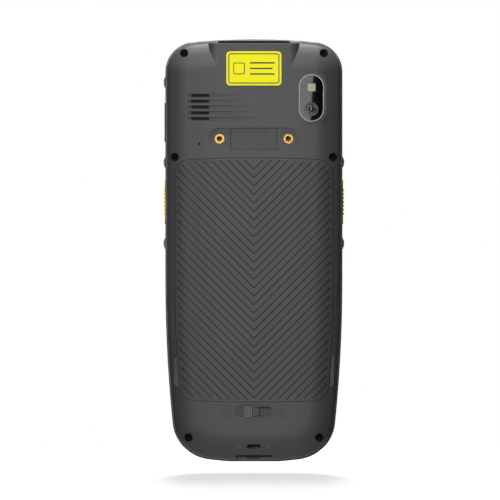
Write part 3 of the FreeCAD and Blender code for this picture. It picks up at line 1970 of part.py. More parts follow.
for side, sign in (("left", -1), ("right", 1)):
    bracket_ears.append(
        box(
            f"bracket_ear_{side}",
            span(f"{sign} * (dims.engine_half_width + 3.4)", "4.8"),
            (BOARD_FRONT, f"{BOARD_FRONT} + 0.8"),
            ("dims.engine_low - 1.3", "dims.engine_low + 6"),
        )
    )
piece("scan_bracket", fuse("scan_bracket_solid", bracket_floor, *bracket_ears))

# Display stack
glass, glass_pad = plain_body(
    "glass",
    rounded_rectangle,
    GLASS_FRONT,
    GLASS_BACK,
    "0",
    GLASS_MID,
    "dims.glass_width",
    "dims.glass_high - dims.glass_low",
    "dims.glass_corner",
)
pocketed(
    glass,
    "earpiece_slot",
    stadium,
    f"{GLASS_FRONT} + 1",
    f"{GLASS_BACK} - 1",
    "0",
    "dims.earpiece_z",
    "dims.earpiece_width",
    "dims.earpiece_slot",
)
piece("touch_glass", glass)
display, _ = plain_body(
    "display",
    rectangle,
    GLASS_BACK,
    f"{GLASS_BACK} - dims.display_thickness",
    "0",
    "(dims.display_low + dims.display_high) / 2",
    "dims.display_width",
    "dims.display_high - dims.display_low",
)
piece("display_module", display)
earpiece, _ = plain_body(
    "earpiece_case",
    rounded_rectangle,
    GLASS_BACK,
    f"{GLASS_BACK} - dims.earpiece_case_depth",
    "0",
    "dims.earpiece_z",
    "dims.earpiece_width + 2 * dims.earpiece_margin",
    "dims.earpiece_case_height",
    "dims.earpiece_case_corner",
)
piece("earpiece", earpiece)

# Keypad: bezel, keys, mat, domes and board
key_holes = []
for name, x, z, width, height in KEYS:
    key_holes.append(
        prism(
            name + "_hole",
            rounded_rectangle,
            f"{BEZEL_FRONT} + 1",
            f"{BEZEL_BACK} - 1",
            x,
            z,
            f"{width} + 2 * dims.key_gap",
            f"{height} + 2 * dims.key_gap",
            "dims.key_corner + dims.key_gap",
        )
    )
piece(
    "keypad_bezel",
    cut(
        "keypad_bezel_solid",
        keypad_plan("bezel_blank", "dims.bezel_inset", BEZEL_FRONT, BEZEL_BACK),
        *key_holes,
    ),
)
for name, x, z, width, height in KEYS:
    proud = f"{FRONT} + dims.scan_key_proud" if name == "key_scan" else f"{BEZEL_FRONT} + dims.key_proud"
    key, _ = plain_body(
        name + "_body",
        rounded_rectangle,
        FLANGE_FRONT,
        KEY_BACK,
        x,
        z,
        f"{width} + 2 * dims.key_flange",
        f"{height} + 2 * dims.key_flange",
        "dims.key_corner + dims.key_flange",
    )
    cap = padded(
        key,
        name + "_cap",
        rounded_rectangle,
        proud,
        KEY_BACK,
        x,
        z,
        width,
        height,
        "dims.key_corner",
    )
    rounded_edges(key, cap, "dims.key_top_radius", edges_at_depth(proud))
    piece(name, key)
KEY_PLACES = [(x, z) for name, x, z, width, height in KEYS]
KEYBOARD_Z = "((dims.nav_row + 4.6 + dims.key_row_low - 1.8) / 2)"
KEYBOARD_HEIGHT = "(dims.nav_row + dims.mat_rise - dims.key_row_low + dims.mat_drop)"
mat, _ = plain_body(
    "mat", rectangle, MAT_FRONT, MAT_BACK, "0", KEYBOARD_Z, "4 * dims.key_pitch_x + dims.mat_side", KEYBOARD_HEIGHT
)
padded(mat, "mat_nubs", circles, NUB_FRONT, f"{MAT_BACK} + 0.1", KEY_PLACES, "dims.nub_radius")
piece("keypad_mat", mat)
piece(
    "key_domes",
    prism(
        "key_domes_solid",
        circles,
        f"{KEYBOARD_FRONT} + dims.dome_height",
        KEYBOARD_FRONT,
        KEY_PLACES,
        "dims.dome_radius",
    ),
)
keyboard, _ = plain_body(
    "keyboard",
    rectangle,
    KEYBOARD_FRONT,
    KEYBOARD_BACK,
    "0",
    KEYBOARD_Z,
    "4 * dims.key_pitch_x + dims.mat_side",
    KEYBOARD_HEIGHT,
)
piece("keypad_board", keyboard)
piece(
    "board_connector",
    box(
        "board_connector_solid",
        span("0", "16"),
        (BOARD_FRONT, KEYBOARD_BACK),
        ("dims.nav_row - 1", "dims.nav_row + 2"),
    ),
)

# Main board, its shields and the data socket
board_blank = prism("board_blank", outline, BOARD_FRONT, "dims.board_rear", BODY, "dims.board_inset")
board_cuts = prism(
    "board_cuts",
    circles,
    f"{BOARD_FRONT} + 1",
    "dims.board_rear - 1",
    SCREWS,
    "dims.boss_radius + 2 * dims.seam_gap",
)
engine_notch = box(
    "engine_notch",
    ("-dims.engine_half_width - 2", "dims.engine_half_width + 2"),
    ("dims.board_rear - 1", f"{BOARD_FRONT} + 1"),
    ("dims.engine_low - 1.6", "dims.body_length"),
)
piece("main_board", cut("main_board_solid", board_blank, board_cuts, engine_notch))
shields = []
for i in range(3):
    shields.append(
        box(
            f"shield_{i}",
            span(f"dims.shield_{i}_x", f"dims.shield_{i}_width"),
            (BOARD_FRONT, f"{BOARD_FRONT} + dims.shield_depth"),
            span(f"dims.shield_{i}_z", f"dims.shield_{i}_height"),
        )
    )
piece("shield_cans", compound("shield_set", *shields))
USB_LOW = "dims.usb_low"
usb_parts = []
for part_name, low, high, shrink in (
    ("usb_shell", USB_LOW, f"{USB_LOW} + dims.usb_length", "0"),
    ("usb_mouth", "0", f"{USB_LOW} + dims.usb_length - 1", "2 * dims.usb_shell"),
):
    sketch = level_sketch(part_name + "_outline", low)
    stadium(
        sketch, "0", "dims.usb_y", f"dims.usb_width - {shrink}", f"dims.usb_height - {shrink}"
    )
    usb_parts.append(extrude(part_name, sketch, f"({high}) - ({low})"))
usb_tongue = box(
    "usb_tongue",
    span("0", "dims.usb_tongue_width"),
    span("dims.usb_y", "dims.usb_tongue_thickness"),
    (f"{USB_LOW} + 0.8", f"{USB_LOW} + dims.usb_length - 0.5"),
)
piece("usb_socket", fuse("usb_socket_solid", cut("usb_tube", *usb_parts), usb_tongue))

# Keys in the long sides and their switches
CAP_INNER = f"({SIDE_INNER} - dims.fit_gap)"
for side, sign in (("left", -1), ("right", 1)):
    cap = side_prism(
        f"side_cap_{side}",
        sign,
        rounded_rectangle,
        f"{CAP_INNER} - 0.1",
        f"{SIDE} + dims.side_key_proud",
        "dims.side_key_y",
        "dims.side_key_height",
        "dims.side_key_depth",
        "dims.side_key_length",
        "1.2",
    )
    flange = side_prism(
        f"side_flange_{side}",
        sign,
        rounded_rectangle,
        f"{CAP_INNER} - dims.side_key_flange_thickness",
        CAP_INNER,
        "dims.side_key_y",
        "dims.side_key_height",
        "dims.side_key_depth + 2 * dims.side_key_flange",
        "dims.side_key_length + 2 * dims.side_key_flange",
        "1.2 + dims.side_key_flange",
    )
    ribs = []
    count = int(SIZES["side_key_rib_count"])
    for i in range(count):
        ribs.append(
            side_prism(
                f"side_rib_{side}_{i}",
                sign,
                rectangle,
                f"{SIDE} + dims.side_key_proud - 0.1",
                f"{SIDE} + dims.side_key_proud + dims.side_key_rib",
                "dims.side_key_y",
                f"dims.side_key_height + ({i - (count - 1) / 2}) * dims.side_key_rib_pitch",
                "dims.side_key_depth - 1.2",
                "dims.side_key_rib_pitch / 2",
            )
        )
    piece(f"side_key_{side}", fuse(f"side_key_{side}_solid", cap, flange, *ribs))
rocker_cap = side_prism(
    "rocker_cap",
    -1,
    rounded_rectangle,
    f"{CAP_INNER} - 0.5",
    f"{SIDE} + dims.rocker_proud",
    "dims.side_key_y",
    "dims.rocker_height",
    "dims.rocker_depth",
    "dims.rocker_length",
    "1.2",
)
rocker_flange = side_prism(
    "rocker_flange",
    -1,
    rounded_rectangle,
    f"{CAP_INNER} - 0.9",
    f"{CAP_INNER} - 0.35",
    "dims.side_key_y",
    "dims.rocker_height",
    "dims.rocker_depth + 2 * dims.side_key_flange",
    "dims.rocker_length + 2 * dims.side_key_flange",
    "1.2 + dims.side_key_flange",
)
piece("volume_rocker", fuse("volume_rocker_solid", rocker_cap, rocker_flange))
SWITCH_OUTER = f"({CAP_INNER} - 2)"
switches = []
for name, sign, z, reach in (
    ("switch_left", -1, "dims.side_key_height", "0.55"),
    ("switch_right", 1, "dims.side_key_height", "0.55"),
    ("switch_up", -1, "dims.rocker_height + 4", "0.8"),
    ("switch_down", -1, "dims.rocker_height - 4", "0.8"),
):
    case = side_prism(
        name + "_case",
        sign,
        rectangle,
        f"{SIDE} - dims.board_inset - 2.2",
        SWITCH_OUTER,
        f"{BOARD_FRONT} + 1.1",
        z,
        "2.2",
        "4",
    )
    plunger = side_prism(
        name + "_plunger",
        sign,
        rectangle,
        f"{SWITCH_OUTER} - 0.1",
        f"{SWITCH_OUTER} + {reach}",
        "dims.side_key_y",
        z,
        "1.2",
        "1.6",
    )
    switches.append(fuse(name, case, plunger))
piece("side_switches", compound("side_switch_set", *switches))

# Check every shape, then write the files
doc.recompute()
faulty = [thing.Name for thing in doc.Objects if "Invalid" in thing.State or "Error" in thing.State]
if faulty:
    raise RuntimeError("features that did not compute: " + ", ".join(faulty))
for label, thing in pieces.items():
    if thing.Shape.isNull() or not thing.Shape.isValid() or not thing.Shape.Solids:
        raise RuntimeError("no valid solid for " + label)
os.makedirs("parts", exist_ok=True)
for label, thing in pieces.items():
    thing.Shape.exportStep(f"parts/{label}.step")
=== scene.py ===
import json
import math
from contextlib import contextmanager

import bpy
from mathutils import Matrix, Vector

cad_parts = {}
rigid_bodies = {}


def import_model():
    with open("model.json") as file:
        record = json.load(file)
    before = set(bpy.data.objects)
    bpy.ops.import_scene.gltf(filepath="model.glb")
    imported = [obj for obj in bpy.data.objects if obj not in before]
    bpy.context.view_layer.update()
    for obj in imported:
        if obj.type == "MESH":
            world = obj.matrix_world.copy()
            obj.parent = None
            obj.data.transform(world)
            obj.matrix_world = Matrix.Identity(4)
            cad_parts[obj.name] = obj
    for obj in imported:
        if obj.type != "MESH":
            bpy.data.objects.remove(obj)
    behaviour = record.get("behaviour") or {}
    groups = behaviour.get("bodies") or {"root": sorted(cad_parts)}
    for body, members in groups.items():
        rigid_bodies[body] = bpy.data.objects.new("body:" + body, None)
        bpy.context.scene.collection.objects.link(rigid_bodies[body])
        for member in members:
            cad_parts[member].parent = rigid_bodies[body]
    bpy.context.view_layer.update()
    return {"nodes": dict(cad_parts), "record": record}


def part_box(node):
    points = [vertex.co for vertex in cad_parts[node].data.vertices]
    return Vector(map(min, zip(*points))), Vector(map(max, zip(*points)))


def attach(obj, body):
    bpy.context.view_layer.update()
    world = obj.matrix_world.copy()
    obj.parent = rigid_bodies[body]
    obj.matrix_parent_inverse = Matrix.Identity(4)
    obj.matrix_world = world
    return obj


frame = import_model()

MM = 0.001
NODES = frame["nodes"]
INK = 0.02 * MM


# Picking and shaping

def deselect_all():
    for thing in bpy.context.selected_objects:
        thing.select_set(False)


def only(thing):
    deselect_all()
    thing.select_set(True)
    bpy.context.view_layer.objects.active = thing


@contextmanager
def editing(thing):
    """Edit mode, with all of a piece selected."""
    only(thing)
    bpy.ops.object.mode_set(mode="EDIT")
    bpy.ops.mesh.select_all(action="SELECT")
    yield
    bpy.ops.object.mode_set(mode="OBJECT")


def named(name):
    thing = bpy.context.active_object
    thing.name = name
    thing.data.name = name
    return thing


def settle(thing):
    """Puts the place and turn of a piece into its mesh."""
    only(thing)
    bpy.ops.object.transform_apply(location=True, rotation=True, scale=True)
    return thing


def join(name, things):
    only(things[0])
    for thing in things:
        thing.select_set(True)
    bpy.ops.object.join()
    return named(name)


def thicken(thing, toward):
    """Gives flat print, and the films of painted shade, their film thickness, standing out of the
    surface they are on.
    """
    only(thing)
    film = thing.modifiers.new("Film", "SOLIDIFY")
    film.thickness = INK
    film.offset = toward
    bpy.ops.object.modifier_apply(modifier=film.name)
    return thing


def face_plate(name, x, z, width, height, y):
    """A flat rectangle that faces the back. Only y is in metres."""
    deselect_all()
    bpy.ops.mesh.primitive_plane_add(
        size=1, location=(x * MM, y, z * MM), rotation=(math.pi / 2, 0, 0)
    )
    plate = named(name)
    plate.scale = (width * MM, height * MM, 1)
    return settle(plate)


def round_corners(plate, radius, segments=6):
    with editing(plate):
        bpy.ops.mesh.bevel(offset=radius * MM, segments=segments, affect="VERTICES")
    return plate


def outline_only(plate, line):
    """Keeps only a line of this width round the edge of a plate."""
    with editing(plate):
        bpy.ops.mesh.inset(thickness=line * MM)
        bpy.ops.mesh.delete(type="FACE")
    return plate


def half_hoop(name, x, z, radius, line, y):
    """The upper half of a ring seen from the back, nearly flat. Only y is in metres."""
    centre = (x * MM, y, z * MM)
    deselect_all()
    bpy.ops.mesh.primitive_torus_add(
        major_radius=radius * MM,
        minor_radius=line / 2 * MM,
        major_segments=32,
        minor_segments=8,
        location=centre,
        rotation=(math.pi / 2, 0, 0),
    )
    hoop = settle(named(name))
    with editing(hoop):
        bpy.ops.mesh.bisect(plane_co=centre, plane_no=(0, 0, 1), clear_inner=True, use_fill=True)
        bpy.ops.mesh.select_all(action="SELECT")
        bpy.ops.transform.resize(value=(1, 0.08, 1), center_override=centre)
    return hoop


def finished(thing, material, body="casing"):
    thing.data.materials.clear()
    thing.data.materials.append(material)
    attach(thing, body)


# Places that come from the CAD pieces, in millimetres except BACK, which is in metres

def middle_of(name):
    """The X and Z of the middle of a CAD piece."""
    low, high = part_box(name)
    return (low[0] + high[0]) / 2 / MM, (low[2] + high[2]) / 2 / MM


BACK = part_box("label_tag")[1][1]
LENS_X, LENS_Z = middle_of("camera_module")
LAMP_X, LAMP_Z = middle_of("flash_lamp")
GRIP_X = middle_of("latch_slider")[0]


# Sizes of the casing that its finishes follow, in millimetres

SCREW_PLACES = ((26.4, 154.4), (29.88, 115.1), (24.7, 9.18))
SCREW_BORE = 1.6
CROWN_START = 22.9
CROWN_RADIUS = 15.06
TAPER_START = 68.7
TAPER_RADIUS = 534.4
LANYARD_HALF_WIDTH = 2.6
RECESS_HALF_WIDTH = 6.75
RECESS_TOP = 2.45
RECESS_DEEP = -6.0


# Colours that more than one line uses, or that paint shade into a hollow

CASING_GREY = (0.062, 0.063, 0.0665)
FRONT_GREY = (0.03, 0.0305, 0.033)
WHITE = (1, 1, 1, 1)
BLACK = (0, 0, 0, 1)
BORE_SHADE = (0.002, 0.002, 0.002, 1)
RECESS_SHADE = (0.006, 0.006, 0.006, 1)
GROOVE_SHADE = (0.012, 0.012, 0.013, 1)
CUT_SHADE = (0.006, 0.006, 0.007, 1)


# Shader parts

MASK_EDGE = 0.04
PLASTIC_GRAIN = 2200.0
COLOUR_DRIFT = 45.0


def tree_of(name):
    material = bpy.data.materials.new(name)
    material.use_nodes = True
    tree = material.node_tree
    tree.nodes.clear()
    out = tree.nodes.new("ShaderNodeOutputMaterial")
    shader = tree.nodes.new("ShaderNodeBsdfPrincipled")
    tree.links.new(shader.outputs["BSDF"], out.inputs["Surface"])
    return material, tree, shader


def node(tree, kind, **values):
    made = tree.nodes.new(kind)
    for key, value in values.items():
        setattr(made, key, value)
    return made


def feed(tree, target, value):
    """Links a socket, or sets a plain value."""
    if isinstance(value, bpy.types.NodeSocket):
        tree.links.new(value, target)
    else:
        target.default_value = value


def math_of(tree, operation, a, b=0.0, clamp=False):
    made = node(tree, "ShaderNodeMath", operation=operation, use_clamp=clamp)
    feed(tree, made.inputs[0], a)
    feed(tree, made.inputs[1], b)
    return made.outputs[0]


def squared(tree, value):
    return math_of(tree, "MULTIPLY", value, value)


def distance(tree, a, b):
    """The length of a step of a one way and b across it."""
    squares = math_of(tree, "ADD", squared(tree, a), squared(tree, b))
    return math_of(tree, "SQRT", squares)


def mixed(tree, factor, a, b):
    made = node(tree, "ShaderNodeMix", data_type="RGBA")
    feed(tree, made.inputs["Factor"], factor)
    feed(tree, made.inputs["A"], a)
    feed(tree, made.inputs["B"], b)
    return made.outputs["Result"]


def spread(tree, value, low, high):
    """Stretches a value of 0 to 1 over this range."""
    made = node(tree, "ShaderNodeMapRange")
    feed(tree, made.inputs["Value"], value)
    made.inputs["To Min"].default_value = low
    made.inputs["To Max"].default_value = high
    return made.outputs["Result"]


def ramp(tree, value, start, end, **values):
    """Rises from 0 to 1 while a value goes from start to end."""
    made = node(tree, "ShaderNodeMapRange", **values)
    tree.links.new(value, made.inputs["Value"])
    made.inputs["From Min"].default_value = start
    made.inputs["From Max"].default_value = end
    return made


def place(tree):
    """The X, Y and Z of a point of the piece, in millimetres."""
    coordinates = node(tree, "ShaderNodeTexCoord")
    scaled = node(tree, "ShaderNodeVectorMath", operation="SCALE")
    tree.links.new(coordinates.outputs["Object"], scaled.inputs[0])
    scaled.inputs["Scale"].default_value = 1 / MM
    parts = node(tree, "ShaderNodeSeparateXYZ")
    tree.links.new(scaled.outputs[0], parts.inputs[0])
    return parts.outputs["X"], parts.outputs["Y"], parts.outputs["Z"]


def disc(tree, x, z, centre_x, centre_z, radius):
    """A mask that is 1 inside a circle seen from the back."""
    dx = math_of(tree, "SUBTRACT", x, centre_x)
    dz = math_of(tree, "SUBTRACT", z, centre_z)
    inside = math_of(tree, "SUBTRACT", radius, distance(tree, dx, dz))
    return math_of(tree, "DIVIDE", inside, MASK_EDGE, clamp=True)


def panel(tree, x, z, left, right, low, high, soft=MASK_EDGE):
    """A mask that is 1 inside a rectangle seen from the back."""
    half_x, half_z = (right - left) / 2, (high - low) / 2
    dx = math_of(tree, "ABSOLUTE", math_of(tree, "SUBTRACT", x, left + half_x))
    dz = math_of(tree, "ABSOLUTE", math_of(tree, "SUBTRACT", z, low + half_z))
    in_x = math_of(tree, "DIVIDE", math_of(tree, "SUBTRACT", half_x, dx), soft, clamp=True)
    in_z = math_of(tree, "DIVIDE", math_of(tree, "SUBTRACT", half_z, dz), soft, clamp=True)
    return math_of(tree, "MULTIPLY", in_x, in_z)


def band(tree, x, z, centre_x, half_width, low, high):
    """A panel given by its middle line."""
    return panel(tree, x, z, centre_x - half_width, centre_x + half_width, low, high)


def square(tree, x, z, centre_x, centre_z, half, soft=MASK_EDGE):
    """A mask that is 1 inside a square seen from the back."""
    left, right = centre_x - half, centre_x + half
    return panel(tree, x, z, left, right, centre_z - half, centre_z + half, soft)


def shared_group(name, inputs, outputs):
    group = bpy.data.node_groups.new(name, "ShaderNodeTree")
    for title, default in inputs.items():
        socket = group.interface.new_socket(title, in_out="INPUT", socket_type="NodeSocketFloat")
        socket.default_value = default
    for title in outputs:
        group.interface.new_socket(title, in_out="OUTPUT", socket_type="NodeSocketFloat")
    return group, node(group, "NodeGroupInput"), node(group, "NodeGroupOutput")


def grain_group():
    """Moulded grain: a fine spark texture, slow colour drift, and handling marks."""
    group, given, result = shared_group(
        "moulded_grain",
        {"Grain": PLASTIC_GRAIN, "Drift": COLOUR_DRIFT},
        ("Height", "Tone", "Marks"),
    )
    coordinates = node(group, "ShaderNodeTexCoord").outputs["Object"]
    fine = node(group, "ShaderNodeTexNoise")
    fine.inputs["Detail"].default_value = 3.0
    pits = node(group, "ShaderNodeTexVoronoi")
    slow = node(group, "ShaderNodeTexNoise")
    slow.inputs["Detail"].default_value = 4.0
    marks = node(group, "ShaderNodeTexNoise")
    marks.inputs["Detail"].default_value = 6.0
    marks.inputs["Roughness"].default_value = 0.7
    marks_per_drift = 5.0
    marks_scale = math_of(group, "MULTIPLY", given.outputs["Drift"], marks_per_drift)
    scales = (
        (fine, given.outputs["Grain"]),
        (pits, given.outputs["Grain"]),
        (slow, given.outputs["Drift"]),
        (marks, marks_scale),
    )
    for texture, scale in scales:
        group.links.new(coordinates, texture.inputs["Vector"])
        group.links.new(scale, texture.inputs["Scale"])
    height = math_of(group, "ADD", fine.outputs[0], pits.outputs["Distance"])
    worn = ramp(group, marks.outputs[0], start=0.55, end=0.75)
    group.links.new(height, result.inputs["Height"])
    group.links.new(slow.outputs[0], result.inputs["Tone"])
    group.links.new(worn.outputs["Result"], result.inputs["Marks"])
    return group


GRAIN = grain_group()


def add_grain(tree, scale):
    made = node(tree, "ShaderNodeGroup", node_tree=GRAIN)
    made.inputs["Grain"].default_value = scale
    made.inputs["Drift"].default_value = COLOUR_DRIFT
    return made.outputs


def shade(colour, factor):
    return tuple(min(1.0, c * factor) for c in colour[:3]) + (1.0,)


def finish(
    name,
    colour,
    roughness,
    metallic=0.0,
    grain=PLASTIC_GRAIN,
    relief=0.02,
    drift=0.06,
    marks=0.08,
    coat=0.0,
    specular=0.5,
):
    """A procedural finish: colour drift, grain relief and handling marks in the gloss."""
    glossiest = 0.02
    material, tree, shader = tree_of(name)
    made = add_grain(tree, grain)
    base = mixed(tree, made["Tone"], shade(colour, 1 - drift), shade(colour, 1 + drift))
    feed(tree, shader.inputs["Base Color"], base)
    gloss = spread(tree, made["Marks"], roughness, max(glossiest, roughness - marks))
    feed(tree, shader.inputs["Roughness"], gloss)
    shader.inputs["Metallic"].default_value = metallic
    shader.inputs["Coat Weight"].default_value = coat
    shader.inputs["Specular IOR Level"].default_value = specular
    bump = node(tree, "ShaderNodeBump")
    bump.inputs["Strength"].default_value = 0.6
    bump.inputs["Distance"].default_value = relief * MM
    tree.links.new(made["Height"], bump.inputs["Height"])
    tree.links.new(bump.outputs[0], shader.inputs["Normal"])
    return material


def shader_of(material):
    return material.node_tree.nodes["Principled BSDF"]


def base_of(material):
    return shader_of(material).inputs["Base Color"].links[0].from_socket


def recolour(material, colour):
    """Makes a masked colour the base colour of a finish."""
    feed(material.node_tree, shader_of(material).inputs["Base Color"], colour)


# Finishes of the casings

def darker_sides(material, middle, edge, kept):
    """Painted shade: the colour deepens from the middle of the back to its sides, where this much
    is kept, in place of light that falls off towards the sides.
    """
    tree = material.node_tree
    x, y, z = place(tree)
    from_middle = math_of(tree, "ABSOLUTE", x)
    fall = ramp(tree, from_middle, middle, edge, interpolation_type="SMOOTHSTEP")
    deep = mixed(tree, kept, BLACK, base_of(material))
    recolour(material, mixed(tree, fall.outputs["Result"], base_of(material), deep))


def rear_shell(name, roughness):
    """Casing plastic, with painted shade: deeper towards the sides, black in the screw bores and
    dark in the recess at the foot.
    """
    material = finish(name, CASING_GREY, roughness, drift=0.04, marks=0.06, specular=0.3)
    # Painted shade that darkens the back towards its sides.
    darker_sides(material, middle=11.0, edge=27.0, kept=0.74)
    tree = material.node_tree
    x, y, z = place(tree)
    colour = base_of(material)
    from_middle = math_of(tree, "ABSOLUTE", x)
    # Painted shade, black, inside each screw bore.
    for screw_x, screw_z in SCREW_PLACES:
        bore = disc(tree, from_middle, z, screw_x, screw_z, SCREW_BORE)
        colour = mixed(tree, bore, colour, BORE_SHADE)
    # Painted shade in the recess under the lanyard slot at the foot.
    recess = math_of(
        tree,
        "MAXIMUM",
        band(tree, x, z, 0, LANYARD_HALF_WIDTH, low=1.0, high=RECESS_TOP),
        band(tree, x, z, 0, RECESS_HALF_WIDTH, low=1.8, high=RECESS_TOP),
    )
    deep = math_of(tree, "GREATER_THAN", y, RECESS_DEEP)
    in_recess = math_of(tree, "MULTIPLY", recess, deep)
    recolour(material, mixed(tree, in_recess, colour, RECESS_SHADE))
    return material


def sunk(tree, x, y, z, least, soft):
    """A mask that is 1 where a face lies deeper than least below the crowned back."""
    below = math_of(tree, "MAXIMUM", math_of(tree, "SUBTRACT", TAPER_START, z), 0.0)
    taper = math_of(tree, "DIVIDE", squared(tree, below), 2 * TAPER_RADIUS)
    start = math_of(tree, "SUBTRACT", CROWN_START, taper)
    beyond = math_of(tree, "SUBTRACT", math_of(tree, "ABSOLUTE", x), start)
    past = math_of(tree, "MAXIMUM", beyond, 0.0)
    inner = math_of(tree, "SUBTRACT", CROWN_RADIUS**2, squared(tree, past))
    drop = math_of(tree, "SUBTRACT", CROWN_RADIUS, math_of(tree, "SQRT", inner))
    from_back = math_of(tree, "SUBTRACT", y, BACK / MM)
    depth = math_of(tree, "SUBTRACT", from_back, drop)
    return math_of(tree, "DIVIDE", math_of(tree, "SUBTRACT", depth, least), soft, clamp=True)


def cover_shell():
    """Cover plastic with painted shade lying in its grooves."""
    material = rear_shell("cover_shell", 0.52)
    tree = material.node_tree
    x, y, z = place(tree)
    grooves = sunk(tree, x, y, z, least=0.08, soft=0.06)
    # Painted shade where a face lies deeper than the crowned back, in the grooves.
    recolour(material, mixed(tree, grooves, base_of(material), GROOVE_SHADE))
    return material


# Finishes of the camera and its lamp

def camera_pane():
    """Coated glass with a clear eye for the lens and one for the lamp."""
    eye_radius = 2.62
    lamp_half = 1.6
    coated, clear = 1.0, 0.12
    material = finish("camera_pane", (0.003, 0.003, 0.004), 0.012, relief=0.0, marks=0.0)
    tree = material.node_tree
    x, y, z = place(tree)
    eye = disc(tree, x, z, LENS_X, LENS_Z, eye_radius)
    lamp_window = square(tree, x, z, LAMP_X, LAMP_Z, lamp_half)
    windows = math_of(tree, "MAXIMUM", eye, lamp_window)
    feed(tree, shader_of(material).inputs["Alpha"], spread(tree, windows, coated, clear))
    return material


def lens_barrel():
    """Grey rim, dark steps and a blue coated lens in the middle."""
    steps = (
        (2.2, (0.02, 0.02, 0.022, 1)),
        (1.75, (0.075, 0.075, 0.08, 1)),
        (1.45, (0.01, 0.01, 0.012, 1)),
        (1.05, (0.012, 0.03, 0.075, 1)),
    )
    material = finish("lens_barrel", (0.16, 0.16, 0.165), 0.3, grain=5000.0, relief=0.005)
    tree = material.node_tree
    x, y, z = place(tree)
    colour = base_of(material)
    for radius, tone in steps:
        colour = mixed(tree, disc(tree, x, z, LENS_X, LENS_Z, radius), colour, tone)
    recolour(material, colour)
    return material


def flash_cover():
    """Pale cover with yellow phosphor showing through its middle."""
    phosphor_yellow = (0.95, 0.75, 0.2, 1)
    material = finish("flash_cover", (0.75, 0.75, 0.68), 0.2, grain=2600.0, relief=0.05, coat=0.5)
    tree = material.node_tree
    x, y, z = place(tree)
    phosphor = square(tree, x, z, LAMP_X, LAMP_Z, half=0.9, soft=0.35)
    recolour(material, mixed(tree, phosphor, base_of(material), phosphor_yellow))
    return material


# Finishes of the other pieces

def touch_glass():
    """Black border print round a slightly paler display."""
    side_border, low_border, top_border = 1.3, 3.6, 0.9
    display_black = (0.02, 0.021, 0.024, 1)
    material = finish("touch_glass", (0.006, 0.006, 0.007), 0.06, relief=0.0, marks=0.03, coat=0.5)
    tree = material.node_tree
    x, y, z = place(tree)
    low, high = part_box("display_module")
    lit = panel(
        tree,
        x,
        z,
        left=low[0] / MM + side_border,
        right=high[0] / MM - side_border,
        low=low[2] / MM + low_border,
        high=high[2] / MM - top_border,
    )
    recolour(material, mixed(tree, lit, base_of(material), display_black))
    return material


def battery_wrap():
    """Dark case with a pale blank panel and ruled lines on its back."""
    paper, line_grey = (0.3, 0.31, 0.32, 1), (0.05, 0.05, 0.055, 1)
    rows, first_row, pitch, thickness = 6, 84.0, 6, 0.7
    left, longest, shorter = -16, 28, 3
    material = finish("battery_wrap", (0.03, 0.03, 0.034), 0.5, grain=1800.0)
    tree = material.node_tree
    x, y, z = place(tree)
    blank = band(tree, x, z, 0, half_width=20, low=42, high=96)
    colour = mixed(tree, blank, base_of(material), paper)
    for row in range(rows):
        low = first_row - pitch * row
        right = left + longest - shorter * (row % 3)
        line = panel(tree, x, z, left, right, low, low + thickness)
        colour = mixed(tree, line, colour, line_grey)
    recolour(material, colour)
    return material


def board_finish():
    """Solder mask over fine tracks and pads."""
    track_green = (0.03, 0.2, 0.08, 1)
    material = finish("board_mask", (0.012, 0.09, 0.04), 0.35, relief=0.01, coat=0.3)
    tree = material.node_tree
    tracks = node(tree, "ShaderNodeTexBrick")
    coordinates = node(tree, "ShaderNodeTexCoord")
    mapping = node(tree, "ShaderNodeMapping")
    mapping.inputs["Rotation"].default_value = (math.pi / 2, 0, 0)
    tree.links.new(coordinates.outputs["Object"], mapping.inputs[0])
    tree.links.new(mapping.outputs[0], tracks.inputs["Vector"])
    tracks.inputs["Scale"].default_value = 140.0
    tracks.inputs["Mortar Size"].default_value = 0.03
    tracks.inputs["Color1"].default_value = WHITE
    tracks.inputs["Color2"].default_value = (0.8, 0.8, 0.8, 1)
    tracks.inputs["Mortar"].default_value = BLACK
    recolour(material, mixed(tree, tracks.outputs["Fac"], base_of(material), track_green))
    return material


def woven_mesh():
    """Black cloth of fine crossing threads."""
    radians_per_mm = 24.0
    thread_grey = (0.03, 0.03, 0.03, 1)
    material = finish("acoustic_mesh", (0.008, 0.008, 0.009), 0.8, grain=6000.0, relief=0.05)
    tree = material.node_tree
    x, y, z = place(tree)
    warp = math_of(tree, "SINE", math_of(tree, "MULTIPLY", x, radians_per_mm))
    weft = math_of(tree, "SINE", math_of(tree, "MULTIPLY", z, radians_per_mm))
    threads = spread(tree, math_of(tree, "MULTIPLY", warp, weft), 0.0, 1.0)
    recolour(material, mixed(tree, threads, base_of(material), thread_grey))
    return material


def latch_grip():
    """Dark slider whose grip has paler rib tops, with painted shade in the cuts between them."""
    grip_grey = (0.13, 0.13, 0.137, 1)
    grip_half, grip_low, grip_high = 1.35, 16.9, 20.9
    cuts, pitch, cut_half, margin = 4, 0.6, 0.17, 0.2
    material = finish("latch_plastic", (0.026, 0.026, 0.028), 0.5)
    tree = material.node_tree
    x, y, z = place(tree)
    grip = band(tree, x, z, GRIP_X, grip_half, grip_low, grip_high)
    colour = mixed(tree, grip, base_of(material), grip_grey)
    # Painted shade in each cut between the ribs of the grip.
    for cut in range(cuts):
        cut_x = GRIP_X + pitch * (cut - (cuts - 1) / 2)
        gap = band(tree, x, z, cut_x, cut_half, grip_low + margin, grip_high - margin)
        colour = mixed(tree, gap, colour, CUT_SHADE)
    recolour(material, colour)
    return material


